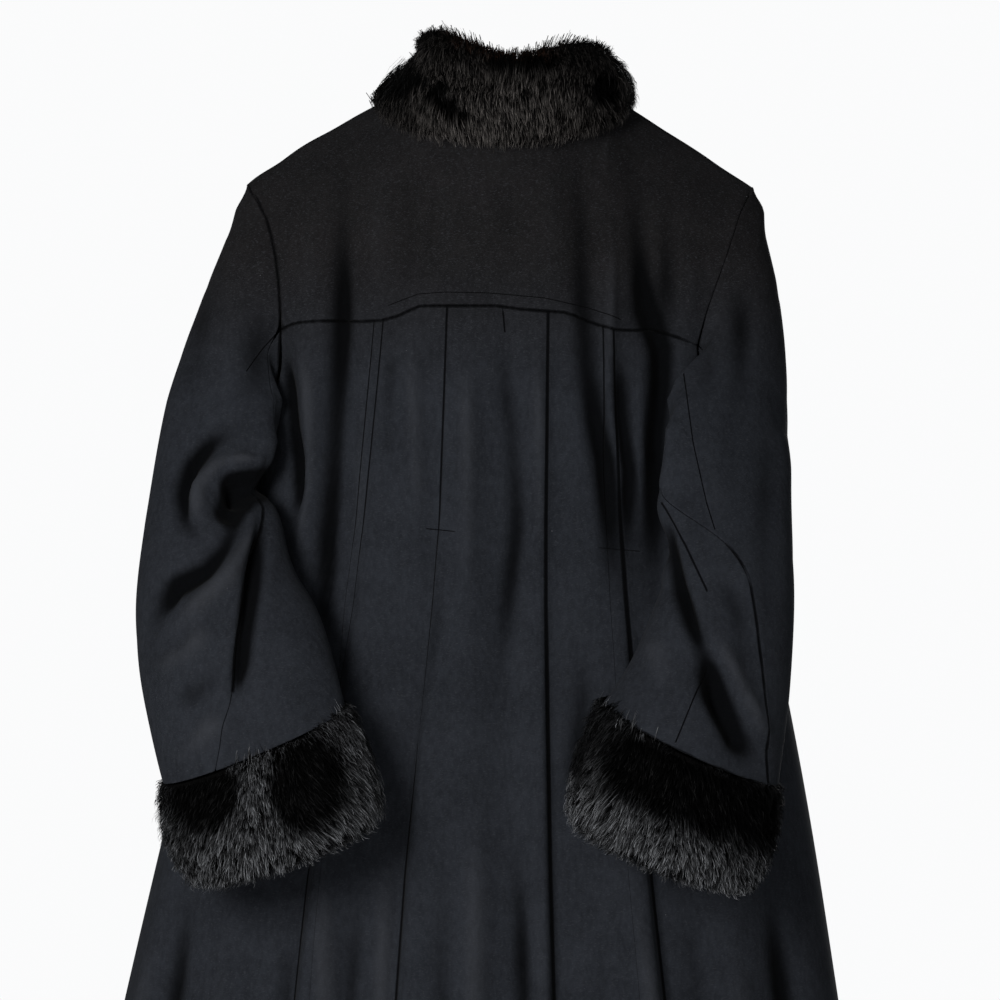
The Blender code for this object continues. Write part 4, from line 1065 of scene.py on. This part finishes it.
def lieOf(spots, normals, plan, rng):
    # The way the fur lies: down, and fanning to the sides of a cuff.
    down, middle = downOf(plan)
    lie = np.tile(down, (len(spots), 1))
    if "side" in plan:
        lie[:, 0] += furShape["cuffFan"] * (spots - middle)[:, 0]
    else:
        lie[:, 0] -= furShape["collarFan"] * spots[:, 0]
    swirl = np.sin(spots @ rng.normal(0, furShape["swirlScale"], (3, 3)) + rng.uniform(0, 6, 3))
    lie += furShape["swirl"] * swirl + rng.normal(0, furShape["wander"], (len(spots), 3))
    return lie - normals * np.sum(lie * normals, axis=1, keepdims=True)


def spotDistance(spots, x, z, wide, high):
    return ((spots[:, 0] - x) / wide) ** 2 + ((spots[:, 2] - z) / high) ** 2


def barenessAndShade(spots, normals, plan):
    # How bare the fur is at each root, on the side that faces the camera: it thins the hairs, sinks their
    # tips and darkens them as painted shade.
    sunkShade = np.zeros(len(spots))
    for spot in plan["spots"]:
        bare = 1 - ease(*bareAndShadedFur["edge"], spotDistance(spots, *spot))
        sunkShade = np.maximum(sunkShade, bare * ease(*bareAndShadedFur["facing"], normals[:, 1]))
    return sunkShade


def pickRisers(spots, normals, below, plan, rng):
    share = np.full(len(spots), plan["riserShare"])
    for x, z, wide in plan["risers"]:
        away = spotDistance(spots, x, z, wide, wide)
        share = np.maximum(share, np.exp(-away ** 2) * ease(*furTone["facing"], normals[:, 1]))
    return rng.random(len(spots)) < risers["share"] * share * (1 - ease(*risers["below"], below))


def drawTufts(spots, normals, plan, rng):
    # Each hair's way to its tuft's tip, and that tuft's own strength of painted highlight.
    count, tufts = len(spots), plan["tufts"]
    chosen = rng.choice(count, tufts, replace=False)
    tree = KDTree(tufts)
    for index, pick in enumerate(chosen):
        tree.insert(Vector(spots[pick]), index)
    tree.balance()
    owner = np.array([tree.find(Vector(spot))[1] for spot in spots])
    tips = spots[chosen] + rng.normal(0, furShape["tuftStray"], (tufts, 3))
    tips += normals[chosen] * rng.uniform(*furShape["tuftRise"], tufts)[:, None]
    shades = rng.random(tufts)
    pull = furShape["pull"] * rng.uniform(*furShape["pullSpread"], count)
    return (tips[owner] - spots) * pull[:, None], shades[owner]


def litShare(spots, normals, below, band, plan):
    # How much painted highlight each hair may take: more toward the band's lower edge and where the fur
    # glows, less toward the collar's sides as painted shade.
    lit = ease(plan["litFrom"], plan["litTo"], below / np.maximum(band, furTone["leastBand"]))
    lit = plan["litLeast"] + (plan["litMost"] - plan["litLeast"]) * lit
    for x, z, wide, high, amount in plan["glows"]:
        away = spotDistance(spots, x, z, wide, high)
        lit = np.maximum(lit, amount * np.exp(-away ** 2) * ease(*furTone["facing"], normals[:, 1]))
    if plan["sideFade"]:
        near, far = (plan["sideFade"] * share for share in furTone["sideShare"])
        lit *= 1 - furTone["sideDark"] * ease(near, far, np.abs(spots[:, 0]))
    return lit


def hairMesh(name, roots, tips, wide, arch):
    # Each hair is a blade of three faces with two bends. Also says where along it each corner is.
    count = len(roots)
    first, last = furShape["bends"]
    taper = furShape["taper"]
    firstBend = roots + (tips - roots) * first + arch
    lastBend = roots + (tips - roots) * last + arch * taper
    rings = [roots - wide, roots + wide, firstBend - wide, firstBend + wide,
             lastBend - wide * taper, lastBend + wide * taper, tips]
    blade = np.array((0, 1, 3, 2, 2, 3, 5, 4, 4, 5, 6))
    corners = (np.arange(count)[:, None] * len(rings) + blade).reshape(-1)
    sizes = np.tile((4, 4, 3), count)
    mesh = bpy.data.meshes.new(name)
    mesh.vertices.add(count * len(rings))
    mesh.vertices.foreach_set("co", np.stack(rings, axis=1).reshape(-1))
    mesh.loops.add(len(corners))
    mesh.loops.foreach_set("vertex_index", corners)
    mesh.polygons.add(len(sizes))
    mesh.polygons.foreach_set("loop_start", np.concatenate(((0,), np.cumsum(sizes)[:-1])))
    mesh.update(calc_edges=True)
    mesh.validate()
    return mesh, (0, 0, first, first, last, last, 1.0)


def growFur(name, plan):
    rng = np.random.default_rng(plan["seed"])
    spots, normals = furSamples(plan, rng)
    below, band = bandPlace(spots, plan)
    sunkShade = barenessAndShade(spots, normals, plan)
    kept = rng.random(len(spots)) > bareAndShadedFur["thin"] * sunkShade
    spots, normals, below, band, sunkShade = (item[kept] for item in (spots, normals, below, band, sunkShade))
    count = len(spots)
    lean(spots, plan)
    lie = lieOf(spots, normals, plan, rng)
    rising = pickRisers(spots, normals, below, plan, rng)
    lie[rising] *= risers["turn"]
    slide = rng.normal(1.0, furShape["slideSpread"], count).clip(*furShape["slideLimits"])
    slide = furShape["slide"] * slide
    slide = np.where(rising, slide, np.minimum(slide, np.maximum(below, 0.0) + furShape["slideOver"]))
    drawn, tuftShade = drawTufts(spots, normals, plan, rng)
    rise = np.minimum(rng.exponential(furShape["proud"], count), furShape["proudMost"])
    rise -= furShape["proud"] * furShape["proudShare"] + bareAndShadedFur["sink"] * sunkShade
    tips = spots + drawn + rng.normal(0, furShape["stray"], (count, 3)) + normals * rise[:, None]
    tips += unit(lie) * (rising * plan["above"] * rng.random(count) ** risers["power"])[:, None]
    roots = spots - normals * furShape["depth"] - lie * slide[:, None] + drawn * furShape["rootShare"]
    side = unit(np.cross(tips - roots, normals + rng.normal(0, furShape["twist"], (count, 3))))
    wide = side * (furShape["width"] * rng.uniform(*furShape["widthSpread"], count) / 2)[:, None]
    mesh, along = hairMesh(name, roots, tips, wide, normals * (furShape["depth"] * furShape["arch"]))
    # Painted highlight on each hair: random glints and brighter tufts, more where the fur is lit and glows.
    power = furTone["power"]
    glint = rng.random(count) ** power * furTone["glint"] + tuftShade ** power * furTone["tuftGlint"]
    shade = np.clip(glint * litShare(spots, normals, below, band, plan), 0, 1)
    # Painted shade: hairs in the bare spots are darkened.
    shade *= 1 - bareAndShadedFur["dark"] * sunkShade
    brown = np.zeros(count)
    if "side" in plan:
        shade = np.where(rising, np.maximum(shade, risers["lit"] * glint), shade)
    else:
        brown = (1 - ease(*furTone["brownBelow"], below)) * rng.random(count)
        brown *= 1 - ease(*furTone["brownAcross"], np.abs(spots[:, 0]))
    addAttribute(mesh, "shade", "FLOAT", np.repeat(shade, len(along)))
    addAttribute(mesh, "brown", "FLOAT", np.repeat(brown, len(along)))
    addAttribute(mesh, "along", "FLOAT", np.tile(along, count))
    mesh.materials.append(plan["material"])
    hairs = putIn(name, mesh)
    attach(hairs, "root")


def furPelt(name, plan):
    # The dark pelt under the hairs: the solid's form, drawn in on its outside.
    shape = peltShape
    pelt = smoothCopy(name, plan["node"], shape["levels"], shape["rimCrease"])
    points = readPoints(pelt.data)
    normals = np.empty(len(points) * 3)
    pelt.data.vertices.foreach_get("normal", normals)
    normals = normals.reshape(-1, 3)
    facing = np.sum(normals * outsideOf(points, plan), axis=1)
    inward = ease(*shape["outside"], facing)
    if "side" in plan:
        inward = np.maximum(inward, ease(*shape["mouth"], -normals[:, 2]))
    else:
        inward = np.maximum(inward, ease(*shape["top"], normals[:, 2]))
    points -= normals * (shape["shrink"] * inward)[:, None]
    lean(points, plan)
    writePoints(pelt.data, points)
    finishPiece(pelt, plan["node"], peltMaterial)


for name, plan in furs.items():
    furPelt(name + "Pelt", plan)
    growFur(name, plan)
    print("stage: fur grown on", plan["node"])


def addCamera():
    lens = bpy.data.cameras.new("photoCamera")
    lens.sensor_width = view["sensor"]
    lens.lens = view["sensor"] * view["distance"] / view["width"]
    lens.clip_end = 400
    camera = putIn("photoCamera", lens)
    x, y, z = view["middle"]
    camera.location = (x, y + view["distance"], z)
    camera.rotation_euler = (math.radians(90), 0, math.radians(180))
    bpy.context.scene.camera = camera


def addLamp(name, plan):
    lamp = bpy.data.lights.new(name, "AREA")
    lamp.energy = plan["power"]
    lamp.size = plan["size"]
    holder = putIn(name, lamp)
    holder.location = plan["place"]
    aim = Vector(room["lampAim"]) - Vector(plan["place"])
    holder.rotation_euler = aim.to_track_quat("-Z", "Y").to_euler()


def addFloor():
    shell = bmesh.new()
    bmesh.ops.create_grid(shell, x_segments=1, y_segments=1, size=room["floorReach"])
    bmesh.ops.translate(shell, verts=shell.verts, vec=(0, 0, room["floorHeight"]))
    floor = putIn("paleFloor", meshOf("paleFloor", shell))
    paint = Paint("paleFloor", {"Roughness": 0.8, "Base Color": room["floor"]})
    floor.data.materials.append(paint.material)


def addBackdrop():
    # A wide pale shell that only the camera sees, so that it adds no light of its own.
    shell = bmesh.new()
    bmesh.ops.create_icosphere(shell, subdivisions=3, radius=room["backdropRadius"])
    backdrop = putIn("paleBackdrop", meshOf("paleBackdrop", shell))
    finish = {"Base Color": (0, 0, 0, 1), "Specular IOR Level": 0.0,
              "Emission Color": room["backdrop"], "Emission Strength": 1.0}
    backdrop.data.materials.append(Paint("paleBackdrop", finish).material)
    for ray in ("diffuse", "glossy", "transmission", "shadow"):
        setattr(backdrop, "visible_" + ray, False)


addCamera()
for name, plan in lamps.items():
    addLamp(name, plan)
addFloor()
addBackdrop()
world = bpy.data.worlds.new("paleRoom")
world.use_nodes = True
world.node_tree.nodes["Background"].inputs[0].default_value = room["world"]
world.node_tree.nodes["Background"].inputs[1].default_value = room["worldStrength"]
bpy.context.scene.world = world
bpy.context.scene.view_settings.view_transform = "Standard"
print("stage: camera, lamps and floor set")
